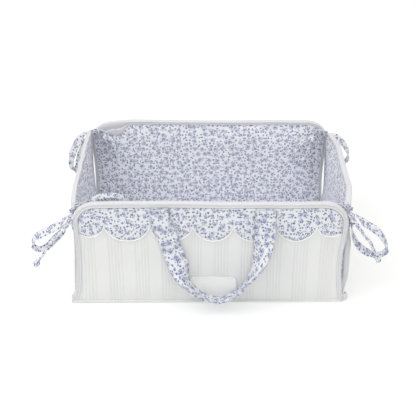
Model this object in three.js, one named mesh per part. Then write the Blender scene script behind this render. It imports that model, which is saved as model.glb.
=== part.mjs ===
// Padded cloth organizer basket: a cross of quilted cloth whose four walls fold up and are tied with bows at the corners.
// Millimetres, +Z up. The origin is the centre of the base's underside, the front faces -Y, and +X is to the right.
import * as THREE from "three";
import { mergeVertices } from "three/addons/utils/BufferGeometryUtils.js";

// Walls
const wallHeight = 130;
const floorGap = 0.5; // the walls' fold stays this far off the floor
const frontHalfWidth = 150; // front and back walls, to the outside of the binding
const sideHalfWidth = 97; // left and right walls
const cornerRadius = 27;
const waist = 2.5; // how far the side edges draw in at half height
const cornerGap = 0.4; // between a side wall's edges and the faces of its two neighbours
const sideProud = 1.5; // how far a side wall's face stands beyond the ends of its neighbours
// Layers of a wall, from its middle plane outwards
const waddingHalfEdge = 1.2; // wadding, pressed flat under the binding
const crown = 2; // how far each face swells in the middle
const crownRun = 26; // width of the slope up to the crown
const clothThickness = 0.8;
const layerGap = 0.2;
const bindingThickness = 0.8;
const bindingWidth = 6;
// Base
const baseWadding = 5.4;
const baseCrown = 1.4;
const baseCornerRadius = 10;
const baseClearance = 0.7;
const cornerBindingInner = 1.6;
const cornerBindingWidth = 2.6;
const cornerBindingHeight = 8;
const cornerBindingGap = 0.4;
// Scalloped band
const scallopCount = 5; // whole scallops, with half a scallop more at each end
const scallopPitch = 46.2;
const scallopFoot = 41; // from the top binding down to the foot of a scallop
const scallopRadius = 24.6; // of a scallop, to the outside of its edging
const endRadius = 18.4; // of the half scallops at the ends
const endRise = 4.7; // how much higher their feet are
const endReach = 17; // from the last cusp to the foot of the half scallop
const bandThickness = 1;
const bandGap = 0.5;
const edgingWidth = 1.4;
const edgingThickness = 1.6;
// Handles
const strapWidth = 22.5;
const strapThickness = 2.6;
const strapGap = 0.5; // between the strap and the edging that it lies on
const strapTopGap = 0.6; // below the top binding
// Centre line of the hanging strap: along the wall, down from the ends of its two legs, and its twist in degrees
const strapRoute = [
  [-56.5, 0, 0], [-56.1, -9, 0], [-54.4, -20, 0], [-51, -32, 2], [-45.4, -53, 8], [-37.5, -70, 26], [-28, -84.5, 66],
  [-13, -99.5, 92], [7.3, -107, 98], [22, -102.5, 98], [36.5, -89, 92], [47.5, -71, 68], [55.3, -52, 24],
  [58.6, -31, 4], [58.9, -15, 0], [58.9, 0, 0],
];
// Bare patch
const patchLeft = -22;
const patchWidth = 51;
const patchFoot = 9;
const patchHeight = 27;
const patchThickness = 0.9;
const patchGap = 0.3;
// Ties
const tieDrop = 14; // knots, below the top of the walls
const knotRadius = 4;
const knotOut = 1.7; // knot centre, beyond the end of the front or back wall
const knotAside = 4.2; // and beyond the end of the side wall
const ribbonWidth = 7.5;
const ribbonThickness = 0.9;
const rootWidth = 5.5;
const longRoot = [0.8, 4.9]; // sewn-in end on a front or back wall: out from the wall's end and aside
const shortRoot = [2.15, -3.4]; // sewn-in end on a side wall, on its face close to its edge
const rootDrop = [-14, -4.1];
const ribbonTilt = 55; // how far the loops' width leans up from level, in degrees

const colours = {
  cloth: 0xe9eaec,
  lining: 0xc9cee0,
  binding: 0xdedfe9,
  wadding: 0xf4f2ec,
  floral: 0xd2d8e8,
  edging: 0xf1f1f2,
  patch: 0xf0efe8,
};
const materials = Object.fromEntries(
  Object.entries(colours).map(([name, color]) => [
    name,
    new THREE.MeshStandardMaterial({ name, color, roughness: 0.9, metalness: 0 }),
  ]),
);

// Derived places
const clothFace = waddingHalfEdge + layerGap + clothThickness; // outside of the cloth at a wall's edge
const bindingFace = clothFace + layerGap + bindingThickness; // half of a wall's thickness at the binding
const edgeInset = bindingThickness + layerGap; // the quilted layers stop this far inside the outline
const frontPlane = sideHalfWidth + cornerGap + bindingFace; // middle plane of the front wall
const sidePlane = frontHalfWidth + sideProud - bindingFace; // middle plane of the right wall
const tieHeight = wallHeight - tieDrop;
const strapClearance = bandGap + Math.max(edgingThickness, bandThickness) + strapGap;
const { smoothstep } = THREE.MathUtils;

// Closed geometries

// Merges equal points and turns the faces out where a mirrored route has turned them in.
function closedGeometry(positions, index) {
  const geometry = new THREE.BufferGeometry();
  geometry.setAttribute("position", new THREE.Float32BufferAttribute(positions, 3));
  let volume = 0;
  const at = (i) => new THREE.Vector3().fromArray(positions, 3 * i);
  for (let i = 0; i < index.length; i += 3) {
    volume += at(index[i]).dot(at(index[i + 1]).cross(at(index[i + 2])));
  }
  geometry.setIndex(volume < 0 ? index.toReversed() : index);
  return mergeVertices(geometry, 1e-4);
}

// Solid between two sheets of points, face(i, j) on the outer side and back(i, j) on the inner side.
function sheetSolid(columns, rows, face, back) {
  const positions = [];
  const index = [];
  for (const sheet of [face, back]) {
    for (let j = 0; j < rows; j++) {
      for (let i = 0; i < columns; i++) positions.push(...sheet(i, j));
    }
  }
  const id = (side, i, j) => (side * rows + j) * columns + i;
  const quad = (a, b, c, d) => index.push(a, b, c, a, c, d);
  const last = { i: columns - 1, j: rows - 1 };
  for (let j = 0; j < last.j; j++) {
    for (let i = 0; i < last.i; i++) {
      quad(id(0, i, j), id(0, i + 1, j), id(0, i + 1, j + 1), id(0, i, j + 1));
      quad(id(1, i, j), id(1, i, j + 1), id(1, i + 1, j + 1), id(1, i + 1, j));
    }
    quad(id(0, 0, j), id(0, 0, j + 1), id(1, 0, j + 1), id(1, 0, j));
    quad(id(1, last.i, j), id(1, last.i, j + 1), id(0, last.i, j + 1), id(0, last.i, j));
  }
  for (let i = 0; i < last.i; i++) {
    quad(id(1, i, 0), id(1, i + 1, 0), id(0, i + 1, 0), id(0, i, 0));
    quad(id(0, i, last.j), id(0, i + 1, last.j), id(1, i + 1, last.j), id(1, i, last.j));
  }
  return closedGeometry(positions, index);
}

// Solid through a row of stations: each puts the corners of one flat profile at station.place(corner).
function loftSolid(profile, stations) {
  const positions = [];
  const index = [];
  const n = profile.length;
  for (const place of stations) {
    for (const corner of profile) positions.push(...place(corner));
  }
  for (let k = 0; k + 1 < stations.length; k++) {
    for (let i = 0; i < n; i++) {
      const [a, b] = [k * n + i, k * n + ((i + 1) % n)];
      index.push(a, b, b + n, a, b + n, a + n);
    }
  }
  const end = (stations.length - 1) * n;
  for (const [a, b, c] of THREE.ShapeUtils.triangulateShape(profile, [])) {
    index.push(c, b, a, end + a, end + b, end + c);
  }
  return closedGeometry(positions, index);
}

// Section of a flat band of cloth.
function bandProfile(width, thickness) {
  const [w, t] = [width / 2, thickness / 2];
  return [[-w, -t], [w, -t], [w, t], [-w, t]].map(([x, y]) => new THREE.Vector2(x, y));
}

// Section of a thicker band, with its long edges rounded.
function roundedProfile(width, thickness) {
  const [w, t, ease] = [width / 2, thickness / 2, thickness / 3];
  return [[-w, 0], [-w + ease, -t], [w - ease, -t], [w, 0], [w - ease, t], [-w + ease, t]].map(
    ([x, y]) => new THREE.Vector2(x, y),
  );
}

// Wall outline, in the wall's own frame: x along it, y up and z out of its outer face

// Half the width of a wall at a height, less an inset that follows the rounded top corners.
function halfWidthAt(y, half, inset) {
  const shoulder = wallHeight - cornerRadius;
  if (y <= shoulder) return half - inset - waist * Math.sin((Math.PI * Math.max(y, 0)) / shoulder);
  const rise = Math.min(y - shoulder, cornerRadius - inset);
  return half - cornerRadius + Math.sqrt((cornerRadius - inset) ** 2 - rise ** 2);
}

// Share of the full crown at a place on a wall: none along the binding and at the fold, all in the middle.
function crownShare(x, y, half) {
  const [beyondX, beyondY] = [Math.abs(x) - (half - cornerRadius), y - (wallHeight - cornerRadius)];
  const toEdge =
    beyondX > 0 && beyondY > 0
      ? cornerRadius - Math.hypot(beyondX, beyondY)
      : Math.min(halfWidthAt(y, half, 0) - Math.abs(x), wallHeight - y);
  return smoothstep(toEdge - bindingWidth, 0, crownRun) * smoothstep(y, 0, crownRun);
}

// Distance of a cloth layer's surface from the wall's middle plane, starting at its distance under the binding.
const swell = (x, y, half, atEdge) => atEdge + crown * crownShare(x, y, half);

// Heights at which a wall's layers and its binding have their points.
const shoulderSteps = 6;
const straightHeights = [0, 0.12, 0.25, 0.5, 0.78].map(
  (share) => floorGap + share * (wallHeight - cornerRadius - floorGap),
);
function layerRows() {
  const shoulder = wallHeight - cornerRadius;
  const round = Array.from({ length: shoulderSteps + 1 }, (_, k) => {
    return shoulder + (cornerRadius - edgeInset) * Math.sin((k / shoulderSteps) * (Math.PI / 2));
  });
  return [...straightHeights, ...round];
}
const layerColumns = [-1, -0.92, -0.81, -0.45, 0, 0.45, 0.81, 0.92, 1];

// One quilted layer of a wall, between two distances from its middle plane.
function wallLayer(half, near, far, side) {
  const rows = layerRows();
  const sheet = (atEdge, sign) => (i, j) => {
    const y = rows[j];
    const x = layerColumns[i] * halfWidthAt(y, half, edgeInset);
    return [x, y, sign * swell(x, y, half, atEdge)];
  };
  const [outer, inner] = side > 0 ? [sheet(far, 1), sheet(near, 1)] : [sheet(near, -1), sheet(far, -1)];
  return sheetSolid(layerColumns.length, rows.length, outer, inner);
}

function wallWadding(half) {
  const rows = layerRows();
  const sheet = (sign) => (i, j) => {
    const y = rows[j];
    const x = layerColumns[i] * halfWidthAt(y, half, edgeInset);
    return [x, y, sign * swell(x, y, half, waddingHalfEdge)];
  };
  return sheetSolid(layerColumns.length, rows.length, sheet(1), sheet(-1));
}

// Folded binding over the two side edges and the top of a wall.
function wallBinding(half) {
  const lip = bindingFace - bindingThickness;
  const round = bindingThickness;
  const profile = [
    [bindingWidth, bindingFace], [round, bindingFace], [0, bindingFace - round], [0, round - bindingFace],
    [round, -bindingFace], [bindingWidth, -bindingFace], [bindingWidth, -lip], [bindingThickness, -lip],
    [bindingThickness, lip], [bindingWidth, lip],
  ].map(([inward, z]) => new THREE.Vector2(inward, z));
  const shoulder = wallHeight - cornerRadius;
  const side = straightHeights.map((y) => ({ x: halfWidthAt(y, half, 0), y, across: 1, down: 0 }));
  for (let k = 0; k <= shoulderSteps; k++) {
    const turn = (k / shoulderSteps) * (Math.PI / 2);
    const [across, down] = [Math.cos(turn), Math.sin(turn)];
    side.push({
      x: half - cornerRadius + cornerRadius * across,
      y: shoulder + cornerRadius * down,
      across,
      down,
    });
  }
  const stationOn = (sign, { x, y, across, down }) => (corner) => [
    sign * (x - corner.x * across),
    y - corner.x * down,
    corner.y,
  ];
  const stations = [
    ...side.map((point) => stationOn(1, point)),
    ...side.toReversed().map((point) => stationOn(-1, point)),
  ];
  return loftSolid(profile, stations);
}

// Scalloped band under the top binding

const bandTop = wallHeight - bindingWidth - layerGap;
const wholeHalf = (scallopCount * scallopPitch) / 2;
const bandHalf = halfWidthAt(bandTop - scallopFoot, frontHalfWidth, bindingWidth + layerGap);
const columnsPerScallop = 6;

// Height of the scallops' edge, less an inset from the outside of the edging: arcs that meet in cusps.
function scallopEdge(x, inset) {
  const beyond = Math.abs(x) - wholeHalf;
  const fromMiddle = beyond > 0 ? beyond - endReach : x - scallopPitch * Math.round(x / scallopPitch);
  const radius = beyond > 0 ? endRadius : scallopRadius;
  const foot = bandTop - scallopFoot + (beyond > 0 ? endRise : 0);
  return foot + radius - Math.sqrt(Math.max((radius - inset) ** 2 - fromMiddle ** 2, 0));
}

function bandUpper(x) {
  const beyond = Math.abs(x) - (frontHalfWidth - cornerRadius);
  const radius = cornerRadius - bindingWidth - 2 * layerGap;
  if (beyond <= 0) return bandTop;
  return wallHeight - cornerRadius + Math.sqrt(Math.max(radius ** 2 - beyond ** 2, 0));
}

function bandColumns() {
  const count = scallopCount * columnsPerScallop;
  const whole = Array.from({ length: count + 1 }, (_, k) => -wholeHalf + (k / count) * 2 * wholeHalf);
  const end = [0.25, 0.5, 0.75, 0.9, 1].map((share) => wholeHalf + share * (bandHalf - wholeHalf));
  return [...end.toReversed().map((x) => -x), ...whole, ...end];
}

const bandBack = (x, y) => swell(x, y, frontHalfWidth, clothFace) + bandGap;

function scallopBand() {
  const xs = bandColumns();
  const rows = 4;
  const sheet = (lift) => (i, j) => {
    const x = xs[i];
    const y = THREE.MathUtils.lerp(scallopEdge(x, edgingWidth) + layerGap, bandUpper(x), j / (rows - 1));
    return [x, y, bandBack(x, y) + lift];
  };
  return sheetSolid(xs.length, rows, sheet(bandThickness), sheet(0));
}

// Narrow white edging that follows the scallops.
function scallopEdging() {
  const xs = bandColumns();
  const sheet = (lift) => (i, j) => {
    const y = scallopEdge(xs[i], j ? edgingWidth : 0);
    return [xs[i], y, bandBack(xs[i], y) + lift];
  };
  return sheetSolid(xs.length, 2, sheet(edgingThickness), sheet(0));
}

// Bare patch that follows the wall's face.
function patch() {
  const [columns, rows] = [7, 4];
  const sheet = (lift) => (i, j) => {
    const x = patchLeft + (i / (columns - 1)) * patchWidth;
    const y = patchFoot + (j / (rows - 1)) * patchHeight;
    return [x, y, swell(x, y, frontHalfWidth, clothFace) + patchGap + lift];
  };
  return sheetSolid(columns, rows, sheet(patchThickness), sheet(0));
}

// Strap handle: its legs lie flat on the wall, and it turns on edge to the wall where it runs level at the bottom.
function handle() {
  const steps = 38;
  const flat = strapRoute.map(([x, drop]) => new THREE.Vector3(x, bandTop - strapTopGap + drop, 0));
  const curve = new THREE.CatmullRomCurve3(flat, false, "centripetal");
  const out = new THREE.Vector3(0, 0, 1);
  const twistAt = (share) => {
    const place = curve.getUtoTmapping(share) * (strapRoute.length - 1);
    const before = Math.min(Math.floor(place), strapRoute.length - 2);
    const degrees = THREE.MathUtils.lerp(strapRoute[before][2], strapRoute[before + 1][2], place - before);
    return THREE.MathUtils.degToRad(degrees);
  };
  const stations = Array.from({ length: steps + 1 }, (_, k) => {
    const along = curve.getTangentAt(k / steps);
    const middle = curve.getPointAt(k / steps);
    const turn = twistAt(k / steps);
    const inner = new THREE.Vector3().crossVectors(out, along).normalize();
    const across = inner.multiplyScalar(Math.cos(turn)).addScaledVector(out, -Math.sin(turn));
    const facing = new THREE.Vector3().crossVectors(along, across);
    const reach = (strapWidth * Math.sin(turn)) / 2 + (strapThickness * Math.abs(Math.cos(turn))) / 2;
    middle.z = swell(middle.x, middle.y, frontHalfWidth, clothFace) + strapClearance + reach;
    return (corner) =>
      middle.clone().addScaledVector(across, corner.x).addScaledVector(facing, corner.y).toArray();
  });
  return loftSolid(roundedProfile(strapWidth, strapThickness), stations);
}

// Base

const baseHalfX = sidePlane - clothFace - baseClearance;
const baseHalfY = frontPlane - clothFace - baseClearance;

// One layer of the base, between two heights, each with its share of the crown.
function baseLayer(low, high) {
  const columns = [-1, -0.95, -0.85, -0.5, 0, 0.5, 0.85, 0.95, 1];
  const steps = 4;
  const straight = baseHalfY - baseCornerRadius;
  const corner = Array.from({ length: steps + 1 }, (_, k) => {
    return straight + baseCornerRadius * Math.sin((k / steps) * (Math.PI / 2));
  });
  const rows = [...corner.toReversed().map((y) => -y), -straight / 2, 0, straight / 2, ...corner];
  const sheet = (level) => (i, j) => {
    const y = rows[j];
    const beyond = Math.max(Math.abs(y) - straight, 0);
    const half = baseHalfX - baseCornerRadius + Math.sqrt(Math.max(baseCornerRadius ** 2 - beyond ** 2, 0));
    const x = columns[i] * half;
    const toEdge = Math.min(baseHalfX - Math.abs(x), baseHalfY - Math.abs(y));
    return [x, y, level.height + level.crown * smoothstep(toEdge, 0, crownRun)];
  };
  return sheetSolid(columns.length, rows.length, sheet(high), sheet(low));
}

// Binding where it turns from one wall to the next at a corner of the base: a quarter ring standing on edge.
function cornerBinding(signX, signY) {
  const steps = 6;
  const profile = roundedProfile(cornerBindingHeight, cornerBindingWidth);
  const stations = Array.from({ length: steps + 1 }, (_, k) => {
    const turn = (k / steps) * (Math.PI / 2);
    return (corner) => {
      const radius = cornerBindingInner + cornerBindingWidth / 2 + corner.y;
      return [
        signX * (frontHalfWidth + cornerBindingGap + radius * Math.sin(turn)),
        signY * (sideHalfWidth + cornerBindingGap + radius * Math.cos(turn)),
        floorGap + cornerBindingHeight / 2 + corner.x,
      ];
    };
  });
  return loftSolid(profile, stations);
}

// Ties

// A place beside a corner: out beyond the front wall's end, aside beyond the side wall's end, and up from the knot.
const cornerPlace = (signX, signY, [out, aside, up]) =>
  new THREE.Vector3(signX * (frontHalfWidth + out), signY * (sideHalfWidth + aside), tieHeight + up);

const tilt = THREE.MathUtils.degToRad(ribbonTilt);
const [acrossX, acrossY, upright, tilted] = [[1, 0, 0], [0, 1, 0], [0, 0, 1], [0, Math.cos(tilt), Math.sin(tilt)]].map(
  (v) => new THREE.Vector3(...v),
);

// Flat ribbon along a route. Its width points one way at the start and turns to another over the stretch from..to,
// and back over the like stretch before the end where it is a loop.
function ribbon(points, { first, then, from = 0, to = 1, looped = false, steps }) {
  const curve = new THREE.CatmullRomCurve3(points, false, "centripetal");
  const stations = Array.from({ length: steps + 1 }, (_, k) => {
    const t = k / steps;
    const turned = smoothstep(looped ? Math.min(t, 1 - t) : t, from, to);
    const along = curve.getTangentAt(t);
    const across = first.clone().lerp(then, turned);
    across.addScaledVector(along, -across.dot(along)).normalize();
    const facing = new THREE.Vector3().crossVectors(along, across);
    const middle = curve.getPointAt(t);
    return (corner) =>
      middle.clone().addScaledVector(across, corner.x).addScaledVector(facing, corner.y).toArray();
  });
  return loftSolid(bandProfile(ribbonWidth, ribbonThickness), stations);
}

// Routes of the four bows as [out, aside, up] beside their corner.
// The inner strands pass side by side through the notch between the two walls.
const innerStart = [[-2, 2, 5.2], [-3.6, -0.6, 5.4], [-7, -1.7, 5.4]];
const innerEnd = [[-8.4, -4, 5.4], [-4.6, -2.2, 5.4], [0.3, 0.1, 5.4]];
const innerTail = [
  [3.4, 0.2, 5.4], [-1, -2.4, 5.4], [-4.6, -3.4, 5.4], [-6.8, -5, 5.3], [-8.6, -8.4, 4], [-9.2, -12.4, 0], [-9.2, -15, -8],
  [-9, -15.6, -24], [-9, -15.6, -46],
];
const bows = {
  front_left: {
    sign: [-1, -1],
    outerLoop: [
      [6.4, 5.6, 1.5], [15, 5.6, -5], [25.5, 5.6, -14.5], [36, 5.6, -23], [44.5, 5.6, -32], [46.5, 5.6, -41],
      [40.5, 5.6, -47], [31, 5.6, -44], [21.5, 5.6, -33], [13, 5.6, -19.5], [7.6, 5.6, -8], [6, 5.6, -2.6],
    ],
    outerTail: [[1.7, 10, 0], [7.5, 11.6, -7], [16, 12, -20], [24, 12, -35], [33, 12, -52], [42, 12, -65]],
    innerLoop: [
      ...innerStart, [-16, -4.6, 9], [-27, -6.4, 14.5], [-41, -8, 16], [-53, -9.4, 12], [-58, -10, 4.5],
      [-53, -10.6, -3], [-41, -10.8, -6], [-28, -10.4, -4.5], [-17, -8.6, -0.5], ...innerEnd,
    ],
    innerTail,
  },
  front_right: {
    sign: [1, -1],
    outerLoop: [
      [6.4, 5.6, 1.5], [18, 5.6, -10.5], [31, 5.6, -25], [40.5, 5.6, -38], [44.5, 5.6, -49], [40, 5.6, -55.5],
      [31, 5.6, -57], [22, 5.6, -53], [14, 5.6, -43], [8.6, 5.6, -29], [6.6, 5.6, -15], [5.2, 5.6, -4.6],
    ],
    outerTail: [[1.7, 10, 0], [8, 11.6, -8], [16, 12, -22], [24, 12, -37], [32, 12, -53], [39, 12, -66]],
    innerLoop: [
      ...innerStart, [-15, -4.4, 4], [-25, -6.6, -2], [-33, -8.4, -12], [-35, -9.4, -24], [-29, -10.2, -31],
      [-22, -10.6, -27], [-18.5, -10.2, -15], [-15, -8.4, -3], ...innerEnd,
    ],
    innerTail,
  },
  back_right: {
    sign: [1, 1],
    outerLoop: [
      [6.4, 5.6, 1.5], [13, 5.6, -1.5], [22, 5.6, -9.5], [28.5, 5.6, -20], [30, 5.6, -30], [25.5, 5.6, -37],
      [18, 5.6, -34], [12.5, 5.6, -25], [8.6, 5.6, -13], [6, 5.6, -3.4],
    ],
    outerTail: [[1.7, 10, 0], [7, 11.6, -6], [12, 12, -18], [14, 12, -34], [15, 12, -50], [15, 12, -64]],
    innerLoop: [
      ...innerStart, [-16, -4.6, 2], [-27, -6.6, -6], [-36, -8.4, -16], [-39, -9.4, -25], [-33, -10.2, -31],
      [-25, -10.6, -27], [-20.5, -9.6, -14], [-16.5, -6.8, -1.5], ...innerEnd,
    ],
    innerTail,
  },
  back_left: {
    sign: [-1, 1],
    outerLoop: [
      [6.4, 5.6, 1.5], [13, 5.6, -1.5], [20, 5.6, -11.5], [24, 5.6, -25], [23.5, 5.6, -38], [19, 5.6, -45],
      [13.5, 5.6, -40], [10.5, 5.6, -27], [8.4, 5.6, -14], [6, 5.6, -3.4],
    ],
    outerTail: [[1.7, 10, 0], [7, 11.6, -6], [12, 12, -20], [14, 12, -40], [14.5, 12, -60], [14, 12, -78]],
    innerLoop: [
      ...innerStart, [-15, -4.4, 3], [-23, -6.4, -5], [-28, -8.2, -16], [-29, -9.4, -27], [-25, -10.2, -33],
      [-21, -10.6, -28], [-19.5, -9.6, -14], [-16, -6.8, -1.5], ...innerEnd,
    ],
    innerTail,
  },
};

function knot(signX, signY) {
  const geometry = new THREE.SphereGeometry(knotRadius, 12, 8);
  const centre = cornerPlace(signX, signY, [knotOut, knotAside, 0]);
  geometry.translate(centre.x, centre.y, centre.z);
  geometry.deleteAttribute("normal");
  geometry.deleteAttribute("uv");
  return mergeVertices(geometry, 1e-4);
}

// End of a ribbon where it comes out of a wall, close to the wall's edge, and rises to the knot.
function ribbonRoot(signX, signY, onSideWall) {
  const [out, aside] = onSideWall ? shortRoot : longRoot;
  const stations = rootDrop.map((up) => {
    const middle = cornerPlace(signX, signY, [out, aside, up]);
    return (corner) => middle.clone().addScaledVector(acrossY, corner.x).addScaledVector(acrossX, corner.y).toArray();
  });
  return loftSolid(bandProfile(rootWidth, ribbonThickness), stations);
}

// Assembly

const basket = new THREE.Group();

function addMesh(parent, name, geometry, material) {
  const mesh = new THREE.Mesh(geometry, materials[material]);
  mesh.name = name;
  parent.add(mesh);
}

const walls = [
  { name: "front", half: frontHalfWidth, plane: frontPlane, turn: 0, banded: true },
  { name: "right", half: sideHalfWidth, plane: sidePlane, turn: Math.PI / 2, banded: false },
  { name: "back", half: frontHalfWidth, plane: frontPlane, turn: Math.PI, banded: true },
  { name: "left", half: sideHalfWidth, plane: sidePlane, turn: -Math.PI / 2, banded: false },
];
for (const { name, half, plane, turn, banded } of walls) {
  const side = new THREE.Group();
  side.rotation.z = turn;
  basket.add(side);
  const upright = new THREE.Group();
  upright.rotation.x = Math.PI / 2;
  upright.position.y = -plane;
  side.add(upright);
  addMesh(upright, `${name}_wall_wadding`, wallWadding(half), "wadding");
  addMesh(upright, `${name}_wall_outer`, wallLayer(half, waddingHalfEdge + layerGap, clothFace, 1), "cloth");
  addMesh(upright, `${name}_wall_lining`, wallLayer(half, waddingHalfEdge + layerGap, clothFace, -1), "lining");
  addMesh(upright, `${name}_wall_binding`, wallBinding(half), "binding");
  if (banded) {
    addMesh(upright, `${name}_scallop_band`, scallopBand(), "floral");
    addMesh(upright, `${name}_scallop_edging`, scallopEdging(), "edging");
    addMesh(upright, `${name}_handle`, handle(), "floral");
  }
  if (name === "front") addMesh(upright, "front_patch", patch(), "patch");
}

const baseLevels = [
  ["base_outer", 0, 0, clothThickness, 0, "cloth"],
  ["base_wadding", clothThickness + layerGap, 0, clothThickness + layerGap + baseWadding, baseCrown, "wadding"],
  [
    "base_lining",
    clothThickness + 2 * layerGap + baseWadding,
    baseCrown,
    2 * clothThickness + 2 * layerGap + baseWadding,
    baseCrown,
    "lining",
  ],
];
for (const [name, low, lowCrown, high, highCrown, material] of baseLevels) {
  const geometry = baseLayer({ height: low, crown: lowCrown }, { height: high, crown: highCrown });
  addMesh(basket, name, geometry, material);
}

for (const [corner, bow] of Object.entries(bows)) {
  const [signX, signY] = bow.sign;
  const placed = (route) => route.map((place) => cornerPlace(signX, signY, place));
  addMesh(basket, `corner_binding_${corner}`, cornerBinding(signX, signY), "binding");
  addMesh(basket, `knot_${corner}`, knot(signX, signY), "floral");
  addMesh(basket, `ribbon_root_long_${corner}`, ribbonRoot(signX, signY, false), "floral");
  addMesh(basket, `ribbon_root_short_${corner}`, ribbonRoot(signX, signY, true), "floral");
  const shapes = {
    outer_loop: [bow.outerLoop, { first: acrossY, then: tilted, from: 0.04, to: 0.2, looped: true, steps: 26 }],
    outer_tail: [bow.outerTail, { first: acrossX, then: acrossX, steps: 12 }],
    inner_loop: [bow.innerLoop, { first: upright, then: tilted, from: 0.08, to: 0.22, looped: true, steps: 32 }],
    inner_tail: [bow.innerTail, { first: upright, then: acrossY.clone().multiplyScalar(-signY), from: 0.1, to: 0.5, steps: 18 }],
  };
  for (const [name, [route, widths]] of Object.entries(shapes)) {
    addMesh(basket, `${name}_${corner}`, ribbon(placed(route), widths), "floral");
  }
}

export default basket;
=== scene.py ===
"""Looks of a padded cloth organizer basket: a cross of quilted cloth whose four walls fold up and are tied at the
corners with printed ribbon bows. Metres, +Z up, the front faces -Y.

A wall is worked out in its own frame first: x along it, y up it and z out of its outer face. Wall.place() turns it
into the frame of the whole basket."""

from functools import reduce

import bpy
import numpy as np
from bpy.props import FloatProperty, FloatVectorProperty, PointerProperty
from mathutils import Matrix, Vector


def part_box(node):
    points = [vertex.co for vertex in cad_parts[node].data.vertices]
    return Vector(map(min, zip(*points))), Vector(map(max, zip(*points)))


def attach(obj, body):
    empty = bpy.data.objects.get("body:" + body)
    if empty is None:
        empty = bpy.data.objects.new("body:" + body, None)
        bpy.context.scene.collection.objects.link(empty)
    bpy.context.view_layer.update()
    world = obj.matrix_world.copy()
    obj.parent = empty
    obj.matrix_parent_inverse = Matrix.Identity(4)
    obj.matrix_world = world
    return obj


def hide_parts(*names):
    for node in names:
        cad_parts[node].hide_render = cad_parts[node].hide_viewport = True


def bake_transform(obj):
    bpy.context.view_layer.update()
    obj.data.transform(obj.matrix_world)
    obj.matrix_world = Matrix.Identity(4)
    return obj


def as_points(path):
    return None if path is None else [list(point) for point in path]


bl_info = {
    "name": "Padded Organizer Basket",
    "version": (1, 0, 0),
    "blender": (4, 5, 0),
    "location": "View3D > Sidebar > Basket",
    "description": "Dresses the packed frame of a tied, padded organizer basket in its cloth, print and ribbons",
    "category": "Object",
}

MM = 0.001
FLOOR_GAP = 0.5 * MM
LAYER_GAP = 0.2 * MM
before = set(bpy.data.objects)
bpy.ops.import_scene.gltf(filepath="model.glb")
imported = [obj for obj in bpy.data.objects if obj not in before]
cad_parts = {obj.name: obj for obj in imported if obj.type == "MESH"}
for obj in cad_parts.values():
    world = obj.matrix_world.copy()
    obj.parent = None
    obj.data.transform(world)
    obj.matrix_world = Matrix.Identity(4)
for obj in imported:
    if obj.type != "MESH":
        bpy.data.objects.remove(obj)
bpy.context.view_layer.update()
FRONT_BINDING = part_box("front_wall_binding")
SIDE_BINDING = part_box("right_wall_binding")
FRONT_PLANE = -(FRONT_BINDING[0].y + FRONT_BINDING[1].y) / 2
SIDE_PLANE = (SIDE_BINDING[0].x + SIDE_BINDING[1].x) / 2


def length(name, description, default):
    return FloatProperty(name=name, description=description, default=default, min=0.0, unit="LENGTH", precision=4)


def colour(name, description, rgb):
    """A colour property from sRGB values out of 255."""
    share = np.array(rgb) / 255
    linear = np.where(share <= 0.04045, share / 12.92, ((share + 0.055) / 1.055) ** 2.4)
    return FloatVectorProperty(
        name=name, description=description, default=tuple(linear), size=3, subtype="COLOR", min=0.0, max=1.0
    )


class BasketSizes(bpy.types.PropertyGroup):
    """Sizes of the basket's cloth pieces."""

    wall_height: length("Wall Height", "Height of the bound walls", round(FRONT_BINDING[1].z, 4))
    front_half: length("Front Half Width", "Half the front wall, over its binding", round(FRONT_BINDING[1].x, 4))
    side_half: length("Side Half Width", "Half a side wall, over its binding", round(SIDE_BINDING[1].y, 4))
    floor_gap: length("Floor Gap", "Height of the walls' lower edges", FLOOR_GAP)
    corner_radius: length("Corner Radius", "Radius of a wall's top corners", 27 * MM)
    waist: length("Waist", "How far the side edges draw in", 2.5 * MM)
    binding_width: length("Binding Width", "Width of the binding on each face", 6 * MM)
    crown: length("Crown", "Swell of each padded face", 2 * MM)
    crown_run: length("Crown Run", "Width of the slope up to the crown", 26 * MM)
    wadding_half: length("Pressed Wadding", "Half the wadding's thickness under the binding", 1.2 * MM)
    cloth: length("Cloth", "Thickness of the cloth", 0.8 * MM)
    scallop_pitch: length("Scallop Pitch", "Distance between two cusps of the band", 46.2 * MM)
    scallop_foot: length("Scallop Foot", "From the top binding down to the foot of a scallop", 41 * MM)
    scallop_radius: length("Scallop Radius", "Radius of a scallop, over its edging", 24.6 * MM)
    end_radius: length("End Radius", "Radius of the half scallops at the ends", 18.4 * MM)
    end_rise: length("End Rise", "How much higher the feet of the half scallops are", 4.7 * MM)
    end_reach: length("End Reach", "From the last cusp to the foot of the half scallop", 17 * MM)
    edging_width: length("Edging Width", "Width of the rolled edging", 1.4 * MM)
    strap_width: length("Strap Width", "Width of a strap handle", 22.5 * MM)
    strap_thickness: length("Strap Thickness", "Thickness of a strap handle", 2.6 * MM)
    ribbon_width: length("Ribbon Width", "Width of the ties", 7.5 * MM)
    ribbon_thickness: length("Ribbon Thickness", "Thickness of the ties", 0.9 * MM)
    knot_radius: length("Knot Radius", "Radius of a bow's knot", 4 * MM)


class BasketColours(bpy.types.PropertyGroup):
    """Colours of the basket's cloths."""

    cloth: colour("Outer Cloth", "White striped cotton", (225, 226, 225))
    binding: colour("Binding", "Pale bias binding", (212, 212, 215))
    ground: colour("Print Ground", "Ground of the printed cotton", (222, 223, 226))
    # the paler side of the print, set paler still as painted light that makes up for the shade inside the basket
    lining: colour("Lining Ground", "Ground of the lining, the paler side of the print", (247, 247, 250))
    motif: colour("Print Motifs", "Deep tone of the printed sprigs", (68, 82, 134))
    motif_light: colour("Pale Motifs", "Light tone of the printed sprigs", (104, 118, 163))
    edging: colour("Edging", "Rolled white edging", (247, 247, 247))
    patch: colour("Patch", "Bare tape patch", (240, 240, 236))
    wadding: colour("Wadding", "Fibre filling", (240, 239, 235))
    floor: colour("Floor", "Studio floor", (240, 240, 239))


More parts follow.
